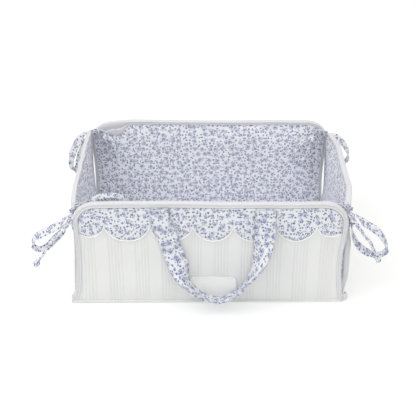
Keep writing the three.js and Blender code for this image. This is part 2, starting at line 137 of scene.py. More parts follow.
def sizes():
    return bpy.context.scene.basket_sizes


def colours():
    return bpy.context.scene.basket_colours


# Curves and grids

SPLINE_STEPS = 24
WAVES = 9


def smoothstep(value, low, high):
    """0 up to low, 1 from high, and a smooth cubic between them."""
    t = np.clip((value - low) / (high - low), 0, 1)
    return t * t * (3 - 2 * t)


def ease(distance, low, high):
    """Smoothstep of a distance between two limits in millimetres."""
    return smoothstep(distance, low * MM, high * MM)


def unit(vectors):
    return vectors / np.maximum(np.linalg.norm(vectors, axis=-1, keepdims=True), 1e-12)


def stack(*parts):
    """Points from their coordinates, which are broadcast together."""
    return np.stack(np.broadcast_arrays(*parts), axis=-1)


def run_length(points):
    return np.concatenate([[0], np.cumsum(np.linalg.norm(np.diff(points, axis=0), axis=1))])


def spline(points, count):
    """Centripetal Catmull-Rom curve through the points, cut into equal lengths: (places, unit tangents)."""
    p = np.array(points, float)
    p = np.vstack([2 * p[0] - p[1], p, 2 * p[-1] - p[-2]])
    a, b, c, d = p[:-3, None], p[1:-2, None], p[2:-1, None], p[3:, None]
    ab, bc, cd = (np.sqrt(np.linalg.norm(y - x, axis=-1, keepdims=True)) for x, y in ((a, b), (b, c), (c, d)))
    start = ((b - a) / ab - (c - a) / (ab + bc) + (c - b) / bc) * bc
    end = ((c - b) / bc - (d - b) / (bc + cd) + (d - c) / cd) * bc
    t = np.linspace(0, 1, SPLINE_STEPS, endpoint=False)[None, :, None]
    piece = b + start * t + (3 * (c - b) - 2 * start - end) * t**2 + (2 * (b - c) + start + end) * t**3
    line = np.vstack([piece.reshape(-1, p.shape[1]), p[-2]])
    run = run_length(line)
    at = np.linspace(0, run[-1], count)
    places = stack(*(np.interp(at, run, values) for values in line.T))
    return places, unit(np.gradient(places, axis=0))


def ripples(u, v, wavelength, seed):
    """Soft uneven waves, about -1 to 1: a sum of plane waves of about one length in millimetres, each with its own
    bearing."""
    rng = np.random.default_rng(seed)
    bearing, phase = rng.uniform(0, np.pi, WAVES), rng.uniform(0, 2 * np.pi, WAVES)
    number = 2 * np.pi / (wavelength * MM) * rng.uniform(0.7, 1.4, WAVES)
    u, v = (np.asarray(value, float)[..., None] for value in (u, v))
    return np.sin(number * (u * np.cos(bearing) + v * np.sin(bearing)) + phase).sum(axis=-1) / 4


def quads(rows, columns, around=False):
    """Faces of a grid of points, and of its UV grid, which has one column more where the grid closes round."""
    j, i = np.meshgrid(np.arange(rows - 1), np.arange(columns if around else columns - 1), indexing="ij")

    def cells(wide, after):
        low, high = j * wide, (j + 1) * wide
        return stack(low + i, low + after, high + after, high + i).reshape(-1, 4)

    return cells(columns, (i + 1) % columns), cells(columns + around, i + 1)


def mesh_object(name, points, faces, uv, caps=()):
    """Mesh of quads with UVs for each corner, and of flat end caps. A mesh that came out inside out is turned."""
    points = np.ascontiguousarray(points, np.float64)
    a, b, c, d = (points[faces[:, k]] for k in range(4))
    if (np.cross(c - a, d - b) * (a + b + c + d)).sum() < 0:
        faces, uv = faces[:, ::-1], uv[:, ::-1]
        caps = [cap[::-1] for cap in caps]
    loops = np.concatenate([faces.ravel(), *caps]).astype(np.int32)
    totals = np.concatenate([np.full(len(faces), 4), [len(cap) for cap in caps]]).astype(np.int32)
    starts = np.concatenate([[0], np.cumsum(totals)[:-1]]).astype(np.int32)
    cap_uv = [np.tile(uv[0, 0], (len(cap), 1)) for cap in caps]
    mesh = bpy.data.meshes.new(name)
    mesh.vertices.add(len(points))
    mesh.vertices.foreach_set("co", points.astype(np.float32).ravel())
    mesh.loops.add(len(loops))
    mesh.loops.foreach_set("vertex_index", loops)
    mesh.polygons.add(len(totals))
    mesh.polygons.foreach_set("loop_start", starts)
    mesh.polygons.foreach_set("loop_total", totals)
    layer = mesh.uv_layers.new(name="cloth")
    layer.data.foreach_set("uv", np.vstack([uv.reshape(-1, 2), *cap_uv]).astype(np.float32).ravel())
    mesh.update(calc_edges=True)
    mesh.validate()
    mesh.shade_smooth()
    piece = bpy.data.objects.new(name, mesh)
    bpy.context.scene.collection.objects.link(piece)
    return piece


def sheet_piece(name, face, back, uv):
    """Closed sheet between two grids of points, with a rim all round. Both sides share the UV grid."""
    rows, columns = face.shape[:2]
    grid, _ = quads(rows, columns)
    count = rows * columns
    index = np.arange(count).reshape(rows, columns)
    ring = np.concatenate([index[0], index[1:, -1], index[-1, -2::-1], index[-2:0:-1, 0]])
    after = np.roll(ring, -1)
    faces = np.vstack([grid, grid[:, ::-1] + count, stack(ring, ring + count, after + count, after)])
    points = np.vstack([face.reshape(-1, 3), back.reshape(-1, 3)])
    return mesh_object(name, points, faces, np.tile(uv.reshape(-1, 2), (2, 1))[faces])


def loft_piece(name, rings, uv):
    """Closed tube through rings of points (rows, round, 3), with flat ends. The UV grid has one column more."""
    rows, columns = rings.shape[:2]
    faces, uv_faces = quads(rows, columns, around=True)
    caps = [np.arange(columns)[::-1], (rows - 1) * columns + np.arange(columns)]
    return mesh_object(name, rings.reshape(-1, 3), faces, uv.reshape(-1, 2)[uv_faces], caps)


def ring_uv(profile, along):
    """UV grid of a loft: the length round its profile, and the length along it."""
    return stack(*np.meshgrid(run_length(np.vstack([profile, profile[:1]])), along))


def carried(line, across, facing, u, v):
    """Rings of a profile that is carried along a line: u points across it and v out of its face."""
    return line[:, None] + across[:, None] * u[..., None] + facing[:, None] * v[..., None]


def flat_profile(left_half, count):
    """Closed profile from the left half of its upper side, mirrored to the right and then below."""
    upper, _ = spline(left_half + [(-u, v) for u, v in left_half[-2::-1]], count)
    return np.vstack([upper, upper[-2:0:-1] * [1, -1]])


# The walls' own shape

# Each wall's bearing in quarter turns, and the seed of its folds
WALLS = {"front": (0, 11), "right": (1, 23), "back": (2, 37), "left": (-1, 53)}


class Wall:
    """One wall: where it stands, and the soft shape that all its layers share."""

    def __init__(self, name):
        s = sizes()
        self.name = name
        self.body = f"{name}_wall"
        quarters, self.seed = WALLS[name]
        self.turn = quarters * np.pi / 2
        self.long = name in ("front", "back")
        self.half = s.front_half if self.long else s.side_half
        self.plane = FRONT_PLANE if self.long else SIDE_PLANE
        self.cloth_face = s.wadding_half + s.cloth + LAYER_GAP
        self.binding_face = s.wadding_half + 2 * (s.cloth + LAYER_GAP)

    def half_at(self, y, inset):
        """Half the wall's width at a height: drawn in like half a sine wave below the corners, then a quarter round."""
        s = sizes()
        shoulder = s.wall_height - s.corner_radius
        low = self.half - inset - s.waist * np.sin(np.pi * np.clip(y, 0, shoulder) / shoulder)
        rise = np.clip(y - shoulder, 0, s.corner_radius - inset)
        high = self.half - s.corner_radius + np.sqrt(np.maximum((s.corner_radius - inset) ** 2 - rise**2, 0))
        return np.where(y <= shoulder, low, high)

    def to_edge(self, x, y):
        """Distance in from the nearest bound edge."""
        s = sizes()
        over_x, over_y = np.abs(x) - (self.half - s.corner_radius), y - (s.wall_height - s.corner_radius)
        corner = s.corner_radius - np.hypot(over_x, over_y)
        straight = np.minimum(self.half_at(y, 0) - np.abs(x), s.wall_height - y)
        return np.where((over_x > 0) & (over_y > 0), corner, straight)

    def swell(self, x, y, at_edge):
        """A layer's distance from the middle plane: its distance under the binding and its share of the crown."""
        s = sizes()
        share = smoothstep(self.to_edge(x, y) - s.binding_width, 0, s.crown_run) * smoothstep(y, 0, s.crown_run)
        return at_edge + s.crown * share

    def folds(self, x, y, side):
        """Soft unevenness of a padded face: broad hollows, upright drapes and small puckers along the stitching."""
        s = sizes()
        edge = self.to_edge(x, y) - s.binding_width
        seed = self.seed + (50 if side < 0 else 0)
        broad = 0.55 * ripples(x, y, 85, seed)
        drape = (0.34 if side > 0 else 0.5) * ripples(x, 0.22 * y, 27, seed + 1)
        along = np.where(s.wall_height - y < self.half - np.abs(x), x, y)
        pucker = 0.3 * ripples(along, 0.3 * edge, 8, seed + 2) * np.exp(-np.maximum(edge, 0) / (7 * MM))
        return MM * ease(edge, 0, 5) * ease(y, 2, 16) * (broad + drape + pucker)

    def drift(self, x, y):
        """How the whole wall leaves its flat outline, as (along, up, out), the same for every layer of it."""
        height = np.clip(y / sizes().wall_height, 0, 1)
        along = 0.35 * ripples(y, 0, 70, self.seed + 7) * height
        up = 0.45 * ripples(x, 0, 95, self.seed + 8) * height**2
        out = 0.8 * ripples(x, y, 150, self.seed + 9) * height
        if self.name == "front":
            # the foot stands forward, the left end leans out towards it, the right end draws in at half its height,
            # and the top tilts down to the right
            out = out + 3 * (1 - ease(y, 0, 60))
            along = along - 3.6 * ease(-x, 110, 150) * (1 - ease(y, 0, 95))
            along = along - 4 * ease(-x, 134, 150) * (1 - ease(y, 1, 18))
            along = along - 1.3 * ease(x, 110, 150) * ease(y, 4, 40) * (1 - ease(y, 62, 92))
            up = up + 0.8 * ease(-x, -40, 130) - 0.9 * ease(x, -20, 130) * height
        elif self.name == "left":
            # the front edge stands out at its foot, the rest bulges and drapes, and the back end sags
            front = ease(x, 30, 97)
            out = out + 3.8 * front * (1 - ease(y, 0, 90)) + 2.6 * np.sin(np.pi * height) * (1 - front)
            out = out + 0.6 * ripples(x, 0.12 * y, 19, seed=57) * ease(y, 30, 90) * (1 - front)
            up = up - 5.5 * ease(-x, 20, 92) * height**2
        elif self.name == "right":
            # it stands out except at the front top corner, and its back end leans in and sags
            front, back = ease(-x, 60, 97), ease(x, 20, 92) * height**2
            out = out + 4.6 * ease(y, 0, 30) * (1 - 0.95 * front * ease(y, 66, 102)) - 3.6 * back
            up = up - 9.5 * back
        else:
            # the top sags, and its left corner, as seen from the front, flops inwards
            flop = ease(x, 92, 146) * ease(y, 84, 130)
            out = out - 5.5 * flop
            up = up - (2.8 - 0.9 * x / self.half) * height**2 - 1.2 * flop
        return MM * along, MM * up, MM * out

    def place(self, x, y, z):
        """Points of the basket from points of the wall: drifted, stood up, set off the middle, turned to its side."""
        along, up, out = self.drift(x, y)
        x, off = x + along, self.plane + z + out
        c, s = np.cos(self.turn), np.sin(self.turn)
        return stack(x * c + off * s, x * s - off * c, y + up)

    def spot(self, x, y, z):
        """One place of the wall, as three numbers."""
        return tuple(float(value) for value in self.place(x, y, z))


def walls(long_only=False):
    return [wall for wall in map(Wall, WALLS) if wall.long or not long_only]


def wall_grid(wall, columns, straight_rows, round_rows):
    """Grid of a wall inside its binding: straight rows, then rows that crowd together up the round corners."""
    s = sizes()
    inset = s.cloth + LAYER_GAP
    shoulder = s.wall_height - s.corner_radius
    low = np.linspace(s.floor_gap, shoulder, straight_rows, endpoint=False)
    high = shoulder + (s.corner_radius - inset) * np.sin(np.linspace(0, np.pi / 2, round_rows))
    rows = np.concatenate([low, high])[:, None]
    crowding = 1.25
    share = np.sin(np.linspace(-1, 1, columns) * crowding) / np.sin(crowding)
    return share * wall.half_at(rows, inset), rows + 0 * share


def wall_layer(wall, name, near, far, side, columns, rows):
    """One layer of a wall between two distances from its middle plane, on its outer (+1) or inner (-1) side. Each
    wall is cut from its own part of the cloth."""
    x, y = wall_grid(wall, columns, *rows)
    lift = wall.folds(x, y, side)
    face, back = (wall.place(x, y, side * (wall.swell(x, y, edge) + lift)) for edge in (far, near))
    return sheet_piece(name, face, back, stack(side * x + wall.seed * 13 * MM, y + wall.seed * 7 * MM))


def wall_padding(wall, name, half, columns, rows):
    """Wadding of a wall: both faces swell away from the middle plane, and follow the folds of their cloths."""
    x, y = wall_grid(wall, columns, *rows)
    faces = [wall.place(x, y, side * (wall.swell(x, y, half) + wall.folds(x, y, side))) for side in (1, -1)]
    return sheet_piece(name, *faces, stack(x, y))


def binding_stations(wall, step):
    """The bound outline up one side, over the top and down the other: places and inward directions."""
    s = sizes()
    radius, shoulder = s.corner_radius, s.wall_height - s.corner_radius
    y = np.arange(s.floor_gap, shoulder, step)
    turn = np.linspace(0, np.pi / 2, int(radius * np.pi / 2 / step))
    c, n = np.cos(turn), np.sin(turn)
    side = stack(wall.half_at(y, 0), y, -1, 0)
    corner = stack(wall.half - radius + radius * c, shoulder + radius * n, -c, -n)
    top = stack(np.arange(wall.half - radius - step, 0, -step), s.wall_height, 0, -1)
    half = np.vstack([side, corner, top])
    line = np.vstack([half, half[::-1] * [-1, 1, -1, 1]])
    return line[:, :2], line[:, 2:]


def binding_breadth(wall, line):
    """Width of the binding on the inner face, as a share of its width on the outer one: broad where the back wall's
    corner flops over, and less than one elsewhere on that wall and up the side walls."""
    if wall.name == "back":
        return 0.75 + 2.35 * ease(line[:, 0], 98, 114) * ease(line[:, 1], 102, 116)
    return 1 - {"front": 0, "left": 0.7, "right": 0.45}[wall.name] * ease(line[:, 1], 20, 60)


def wall_binding(wall, name):
    """Folded binding: a soft profile with a stitched groove on each face, carried round the outline and puckered."""
    s = sizes()
    w, f = s.binding_width / MM, wall.binding_face / MM
    outer = [
        (w, f - 0.75), (w - 0.1, f - 0.15), (w - 0.8, f + 0.02), (w - 1.9, f), (w - 2.5, f - 0.3), (w - 2.95, f - 0.8),
        (w - 3.4, f - 0.3), (w - 3.9, f), (1.3, f - 0.02), (0.35, f - 0.55), (-0.05, f - 1.6),
    ]
    shell, _ = spline(outer + [(n, -z) for n, z in outer[::-1]], 44)
    cloth, step, puff = 0.85, 1.25 * MM, 0.16 * MM
    hollow = [(w, -f + cloth), (cloth, -f + cloth), (cloth, f - cloth), (w, f - cloth)]
    profile = np.vstack([shell, hollow]) * MM
    line, inward = binding_stations(wall, step)
    along = run_length(line)
    depth, z = profile[:, 0], profile[:, 1]
    puffed = np.sin(np.pi * np.clip(depth / s.binding_width, 0, 1)) * (np.arange(len(profile)) < len(shell))
    side = np.sign(z)
    gather = ripples(along[:, None], side * 3 * MM, 7, wall.seed + 20)
    gather = gather + 0.7 * ripples(along[:, None], side * 9 * MM, 22, wall.seed + 21)
    z = z + side * puffed * puff * gather
    breadth = np.where(side < 0, binding_breadth(wall, line)[:, None], 1)
    x, y = (line[:, k, None] + inward[:, k, None] * depth * breadth for k in (0, 1))
    # where it is broad inside, it lies on the lining's swell
    over = (side < 0) * np.clip(breadth - 1, 0, 1) * (np.abs(z) > wall.cloth_face)
    z = z - over * (wall.swell(x, y, 0) + 0.6 * np.maximum(wall.folds(x, y, -1), 0))
    pressed = 0.78 if wall.name == "left" else 1
    return loft_piece(name, wall.place(x, y, z * pressed), ring_uv(profile, along))


# The scalloped band

BAND_LIFT = 0.5 * MM
BAND_COLUMNS = 44
# How far the hand-cut cusps of the front band stand from their even places, in millimetres
CUSPS = [-143, -115.5, -69.3, -23.1, 23.1, 69.3, 115.5, 143]
CUSP_SHIFTS = [0, 0, 2.9, 4, 1.2, 1.2, -0.4, 0]


def band_top():
    s = sizes()
    return s.wall_height - s.binding_width - LAYER_GAP


def last_cusp():
    return 2.5 * sizes().scallop_pitch


def band_edge(x, inset):
    """Height of the scallops' edge, less an inset from the outside of the edging: arcs that meet in cusps."""
    s = sizes()
    beyond = np.abs(x) - last_cusp()
    off = np.where(beyond > 0, beyond - s.end_reach, x - s.scallop_pitch * np.round(x / s.scallop_pitch))
    radius = np.where(beyond > 0, s.end_radius, s.scallop_radius)
    foot = band_top() - s.scallop_foot + np.where(beyond > 0, s.end_rise, 0)
    return foot + radius - np.sqrt(np.maximum((radius - inset) ** 2 - off**2, 0))


def cusp_shift(wall, x):
    """How far the cusps stand from their even places; the back band's are even."""
    return np.interp(x, np.array(CUSPS) * MM, np.array(CUSP_SHIFTS) * MM * (wall.name == "front"))


def band_upper(wall, x):
    """Height of the band's upper edge, which follows the binding round the wall's top corners."""
    s = sizes()
    over = np.abs(x) - (wall.half - s.corner_radius)
    radius = s.corner_radius - s.binding_width - 2 * LAYER_GAP
    high = s.wall_height - s.corner_radius + np.sqrt(np.maximum(radius**2 - over**2, 0))
    return np.where(over <= 0, band_top(), high)


def band_columns(wall):
    """Columns that crowd together at the cusps."""
    s = sizes()
    half = wall.half_at(np.array(band_top() - s.scallop_foot), s.binding_width + LAYER_GAP)
    whole = last_cusp()
    arc = s.scallop_pitch / 2 * np.sin(np.linspace(-np.pi / 2, np.pi / 2, BAND_COLUMNS + 1))[1:]
    middle = (np.arange(-2, 3)[:, None] * s.scallop_pitch + arc).ravel()
    end = whole + (half - whole) * (1 - np.cos(np.linspace(0, np.pi / 2, BAND_COLUMNS // 2 + 1)[1:]))
    return np.concatenate([-end[::-1], [-whole], middle, end])


def band_lift(wall, x, y):
    """Face of the wall under the band, and the band's own small puffs between its edges."""
    rise = np.clip((y - band_edge(x - cusp_shift(wall, x), sizes().edging_width)) / (8 * MM), 0, 1)
    puff = 0.35 * np.sin(np.pi * rise) + 0.12 * ripples(x, y, 13, wall.seed + 30) * smoothstep(rise, 0, 0.4)
    return wall.swell(x, y, wall.cloth_face) + wall.folds(x, y, 1) * 0.7 + BAND_LIFT, MM * puff


def scallop_band(wall, name):
    """Printed band: columns from the scalloped edge up to the binding, lifted over the wall's swell."""
    thickness, rows = 1.0 * MM, 22
    x = band_columns(wall)
    lower = band_edge(x, sizes().edging_width) + LAYER_GAP
    x = x + cusp_shift(wall, x)
    y = lower + (band_upper(wall, x) - lower) * np.linspace(0, 1, rows)[:, None]
    x = x + 0 * y
    base, puff = band_lift(wall, x, y)
    return sheet_piece(name, wall.place(x, y, base + thickness + puff), wall.place(x, y, base), stack(x, y))


def scallop_edging(wall, name):
    """Rolled edging: an oval profile between the two edges that it fills, carried along the scallops."""
    s = sizes()
    even = band_columns(wall)
    low, high = band_edge(even, 0), band_edge(even, s.edging_width)
    x = even + cusp_shift(wall, even)
    turn = np.linspace(0, 2 * np.pi, 14, endpoint=False)
    y = (low + high)[:, None] / 2 + (high - low)[:, None] / 2 * np.cos(turn)
    columns = x[:, None] + 0 * y
    base, _ = band_lift(wall, columns, np.maximum(y, high[:, None]))
    middle, half_thickness = 0.85 * MM, 0.8 * MM
    roll = 0.08 * MM * ripples(x, 0, 5, wall.seed + 31)[:, None]
    rings = wall.place(columns, y, base + middle + half_thickness * np.sin(turn) + roll)
    oval = stack(np.cos(turn), np.sin(turn)) * s.edging_width / 2
    return loft_piece(name, rings, ring_uv(oval, run_length(stack(x, low))))


# Straps, patch and ties

# Along the wall and down from the band's top in millimetres, and the twist in degrees
STRAP_ROUTE = np.array([
    [-56, 0, 0], [-54.8, -9, 0], [-51.4, -20, 0], [-47.6, -32, 0], [-41, -53, 2], [-34.3, -70, 26], [-25.5, -86, 80],
    [-11.5, -102, 104], [7.3, -109.8, 108], [22, -104.8, 107], [36.5, -91, 101], [47.3, -72, 84], [54.8, -53, 46],
    [58.4, -32, 14], [58.9, -15, 0], [58.9, 0, 0],
])
# Middle of the patch on the front wall and half its size, in millimetres
PATCH_MIDDLE, PATCH_HALF = (3.5, 22.5), (25.5, 13.5)


def strap_top():
    return band_top() - 0.6 * MM


def strap(wall, name):
    """Strap handle: a flat profile with pressed hems, which twists from flat on the wall to on edge at the bottom."""
    s = sizes()
    off_the_wall, steps = 2.6 * MM, 200
    # the twist rides along as a third coordinate, too small to bend the line
    tiny = 1e-6
    line, _ = spline(STRAP_ROUTE * [MM, MM, tiny] + [0, strap_top(), 0], steps)
    turn = np.radians(line[:, 2:] / tiny)
    line[:, 2] = 0
    along = unit(np.gradient(line, axis=0))
    out = np.array([0.0, 0.0, 1.0])
    across = unit(np.cross(out, along)) * np.cos(turn) - out * np.sin(turn)
    reach = (s.strap_width * np.sin(turn) + s.strap_thickness * np.abs(np.cos(turn)))[:, 0] / 2
    line[:, 2] = wall.swell(line[:, 0], line[:, 1], wall.cloth_face) + off_the_wall + reach
    w, t = s.strap_width / 2 / MM, s.strap_thickness / 2 / MM
    left_half = [
        (-w + 0.9, 0), (-w + 0.1, t * 0.3), (-w + 0.2, t * 0.8), (-w + 1.2, t), (-w + 2.3, t * 0.86),
        (-w + 2.7, t * 0.58), (-w + 3.1, t * 0.84), (-w + 5, t), (0, t * 1.06),
    ]
    profile = flat_profile(left_half, 34) * MM
    u, v = profile.T
    run = run_length(line)
    down = run[:, None]
    buckle = 0.3 * MM * ripples(down, u, 24, wall.seed + 40) * ease(np.minimum(down, run[-1] - down), 4, 24)
    # the low part is folded a little along its middle
    fold_reach = s.strap_width * 0.3
    folded = smoothstep(np.abs(turn), 0.7, 1.5) * smoothstep(fold_reach - np.abs(u), 0, fold_reach)
    lift = buckle - 1.5 * MM * folded
    if wall.name == "front":
        # one edge of its first end is tucked down
        tucked = -u - (5.5 * MM + down * 0.28)
        lift = lift - 0.9 * MM * ease(tucked, 0, 0.7) * (1 - ease(down, 14, 24))
    rings = carried(line, across, np.cross(along, across), u, v + lift)
    return loft_piece(name, wall.place(*np.moveaxis(rings, -1, 0)), ring_uv(profile, run))


def patch(wall, name):
    """Bare tape patch: a thin sheet with softly rounded corners that stands off the wall a little at its right end."""
    columns, rows = 60, 34
    gap, thickness, hem_thickness = 0.3 * MM, 0.7 * MM, 0.4 * MM
    u, v = np.meshgrid(np.linspace(-1, 1, columns), np.linspace(-1, 1, rows))
    bulge = 1 - (0.02 + 0.06 * (u > 0)) * np.abs(u * v) ** 5
    x, y = ((middle + half * t * bulge) * MM for middle, half, t in zip(PATCH_MIDDLE, PATCH_HALF, (u, v)))
    lift = MM * (0.9 * smoothstep(u, 0.72, 1) + 0.22 * ripples(x, y, 26, seed=71) * (1 - np.abs(v)) ** 0.5)
    hem = hem_thickness * np.maximum(smoothstep(np.abs(v), 0.86, 0.9), smoothstep(np.abs(u), 0.93, 0.955))
    base = wall.swell(x, y, wall.cloth_face) + wall.folds(x, y, 1) + gap + np.maximum(lift, 0)
    return sheet_piece(name, wall.place(x, y, base + thickness + hem), wall.place(x, y, base), stack(x, y))


# Routes of the bows as [out beyond the front wall's end, aside beyond the side wall's end, up from the knot]. The
# inner strands pass side by side through the notch between the two walls.
INNER_START = [[-2, 2, 5.2], [-3.6, -0.6, 5.4], [-7, -1.7, 5.4]]
INNER_END = [[-8.4, -4, 5.4], [-4.6, -2.2, 5.4], [0.3, 0.1, 5.4]]
INNER_TAIL = [
    [3.4, 0.2, 5.4], [-1, -2.4, 5.4], [-4.6, -3.4, 5.4], [-6.8, -5, 5.3], [-8.6, -8.4, 4], [-9.2, -12.4, 0],
    [-9.2, -15, -8], [-9, -15.6, -24], [-9, -15.6, -46],
]
BOWS = {
    "front_left": {
        "sign": (-1, -1),
        "outer_loop": [
            [6.4, 5.6, 1.5], [15, 5.6, -8], [25.5, 5.6, -19], [36, 5.6, -27], [44.5, 5.6, -34], [46.5, 5.6, -41.5],
            [40.5, 5.6, -47], [31, 5.6, -44], [21.5, 5.6, -33], [13, 5.6, -19.5], [7.6, 5.6, -8], [6, 5.6, -2.6],
        ],
        "outer_tail": [[1.7, 10, 0], [7.5, 11.6, -7], [17, 12, -20], [26, 12, -35], [36, 12, -52], [46, 12, -65]],
        "inner_loop": [
            *INNER_START, [-16, -4.6, 9], [-27, -6.4, 14.5], [-41, -8, 16], [-53, -9.4, 12], [-58, -10, 4.5],
            [-53, -10.6, -3], [-41, -10.8, -6], [-28, -10.4, -4.5], [-17, -8.6, -0.5], *INNER_END,
        ],
    },
    "front_right": {
        "sign": (1, -1),
        "outer_loop": [
            [6.4, 5.6, 1.5], [18, 5.6, -10.5], [31, 5.6, -25], [40.5, 5.6, -38], [44.5, 5.6, -49], [40, 5.6, -55.5],
            [31, 5.6, -57], [22, 5.6, -53], [12, 5.6, -44], [5.4, 5.6, -30], [3.2, 5.6, -17], [4, 5.6, -5.4],
        ],
        "outer_tail": [[1.7, 10, 0], [8, 11.6, -8], [16, 12, -22], [24, 12, -37], [31, 12, -51], [36.5, 12, -62]],
        "inner_loop": [
            *INNER_START, [-15, -4.4, 4], [-25, -6.6, -2], [-33, -8.4, -12], [-35, -9.4, -24], [-29, -10.2, -31],
            [-22, -10.6, -27], [-18.5, -10.2, -15], [-15, -8.4, -3], *INNER_END,
        ],
    },
    "back_right": {
        "sign": (1, 1),
        "outer_loop": [
            [6.4, 5.6, 1.5], [13, 5.6, -1.5], [22, 5.6, -9.5], [28.5, 5.6, -20], [30, 5.6, -30], [25.5, 5.6, -37],
            [18, 5.6, -34], [12.5, 5.6, -25], [8.6, 5.6, -13], [6, 5.6, -3.4],
        ],
        "outer_tail": [[1.7, 10, 0], [7, 11.6, -6], [12, 12, -18], [14, 12, -34], [15, 12, -50], [15, 12, -64]],
        "inner_loop": [
            *INNER_START, [-16, -4.6, 2], [-27, -6.6, -6], [-36, -8.4, -16], [-39, -9.4, -25], [-33, -10.2, -31],
            [-25, -10.6, -27], [-20.5, -9.6, -14], [-16.5, -6.8, -1.5], *INNER_END,
        ],
    },
    "back_left": {
        "sign": (-1, 1),
        "outer_loop": [
            [6.4, 5.6, 1.5], [13, 5.4, -1.5], [20.5, 5, -11.5], [24.5, 5, -25], [25, 5.2, -38], [21.5, 6, -45.5],
            [17.5, 7.2, -41], [15.5, 7.8, -28], [11.5, 7, -14], [6, 5.6, -3.4],
        ],
        "outer_tail": [[1.7, 10, 0], [7, 11.6, -6], [12, 12, -20], [14, 12, -40], [14.5, 12, -60], [14, 12, -78]],
        "inner_loop": [
            *INNER_START, [-15, -4.4, 3], [-23, -6.4, -5], [-28, -8.2, -16], [-29, -9.4, -27], [-25, -10.2, -33],
            [-21, -10.6, -28], [-19.5, -9.6, -14], [-16, -6.8, -1.5], *INNER_END,
        ],
    },
}
# How each bow hangs from its place, in millimetres: in along the front or back wall, in along the side wall, down, down
# where it passes between the walls, and the free ends of its outer loop and tail out and up
BOW_HANG = {
    "front_left": (1.5, 0, 4.5, 0, 0, 7),
    "front_right": (0, 0, 3.5, 0, 0, 6.5),
    "back_right": (3.5, 1, 10, 6.5, 3.5, -2),
    "back_left": (3.5, 1, 7, 4.5, 7, -9),
}
KNOT_DROP = 14 * MM
# Where the width of most loops points once they hang free
TILTED = (0, np.cos(np.radians(55)), np.sin(np.radians(55)))


def beside_corner(corner, places):
    """Places beside a corner, from [out, aside, up] in millimetres."""
    s = sizes()
    sign = BOWS[corner]["sign"]
    out, aside, up = np.moveaxis(np.array(places, float), -1, 0)
    inward, back, down, between, spread, rise = BOW_HANG[corner]
    free = smoothstep(np.hypot(out, up), 12, 46) * (out > 0)
    up = up - down + (down - between) * smoothstep(-out, -1, 5) + rise * free
    x = s.front_half + (out - inward + spread * free) * MM
    y = s.side_half + (aside - back) * MM
    return stack(sign[0] * x, sign[1] * y, s.wall_height - KNOT_DROP + up * MM)


def ribbon_profile(width):
    """Half-round edges with a pressed hem inside each, and a slightly hollow middle."""
    w, t = width / 2, sizes().ribbon_thickness / 2
    return flat_profile([(-w, 0), (-w * 0.95, t * 0.8), (-w * 0.8, t), (-w * 0.62, t * 0.8), (0, t * 0.72)], 17)


def ribbon(name, route, first, then, start, end, looped, seed, share, knotted=False):
    """Flat ribbon along a route. Its width points one way at first and turns to another, and back again in a loop.
    Its free part spreads or gathers to a share of its width, it cups and flutters a little, and a knotted end swells
    into a small wrapped ball."""
    s = sizes()
    steps = 110
    line, along = spline(route, steps)
    t = np.linspace(0, 1, steps)
    turned = smoothstep(np.minimum(t, 1 - t) if looped else t, start, end)[:, None]
    across = np.array(first, float) * (1 - turned) + np.array(then, float) * turned
    across = unit(across - along * (across * along).sum(axis=1, keepdims=True))
    profile = ribbon_profile(s.ribbon_width)
    u, v = profile.T
    run = run_length(line)[:, None]
    size = run[-1, 0]
    from_knot = np.minimum(run, size - run) if looped else run
    free, spread = ease(from_knot, 8, 24), ease(from_knot, 0.5, 7)
    cup = 0.45 * MM * ripples(run, 0, 34, seed) * (2 * u / s.ribbon_width) ** 2
    wave = 0.35 * MM * ripples(run, u * 2, 17, seed + 1)
    narrow = 1 - 0.1 * (0.5 + 0.5 * ripples(run, 0, 26, seed + 2)) * free
    pinch = 0.3 * (1 - spread)
    if looped and share > 1:
        pinch = pinch + 0.3 * smoothstep(0.2 - np.abs(t - 0.5), 0, 0.16)[:, None]
    narrow = narrow * (1 + (share - 1) * spread - pinch)
    width, height = u * narrow, v + (cup + wave) * free
    if knotted:
        left = size - run
        centre, half_long, half_wide, half_thick = 4.8 * MM, 4.6 * MM, 4.3 * MM, 3 * MM
        ball = np.sqrt(np.maximum(1 - ((left - centre) / half_long) ** 2, 0))
        angle = np.arctan2(v * 3.2, u)
        swollen = ball * (1 + 0.14 * np.sin(3 * angle + left / MM * 1.1))
        stub = 1 - 0.25 * (left < 0.9 * MM)
        width = np.where(ball > 0.25, np.cos(angle) * half_wide * swollen, width * stub)
        height = np.where(ball > 0.25, np.sin(angle) * half_thick * swollen, height)
    rings = carried(line, across, np.cross(along, across), width, height)
    return loft_piece(name, rings, ring_uv(profile, run[:, 0])), line, size


def knot(name, corner):
    """Wrapped knot: a squat ball whose radius rises and falls along three slanting turns of ribbon."""
    centre = beside_corner(corner, [1.7, 4.2, 0])
    around, rows, squash = 56, 34, [1.0, 0.94, 0.92]
    lat, lon = np.meshgrid(
        np.linspace(0.04, np.pi - 0.04, rows), np.linspace(0, 2 * np.pi, around, endpoint=False), indexing="ij"
    )
    wrap = np.abs(np.sin(2.4 * lat + np.sin(lon * BOWS[corner]["sign"][0] + 0.6)))
    crease = 1 - 0.2 * (1 - np.minimum(wrap * 1.9, 1)) ** 1.5
    fine = 1 + 0.03 * ripples(lon * 3 * MM, lat * 4 * MM, 5, seed=91)
    direction = stack(np.sin(lat) * np.cos(lon), np.sin(lat) * np.sin(lon), np.cos(lat))
    points = centre + direction * (sizes().knot_radius * crease * fine)[..., None] * squash
    uv = stack(*np.meshgrid(np.linspace(0, 25 * MM, around + 1), np.linspace(0, 12 * MM, rows)))
    return loft_piece(name, points, uv)


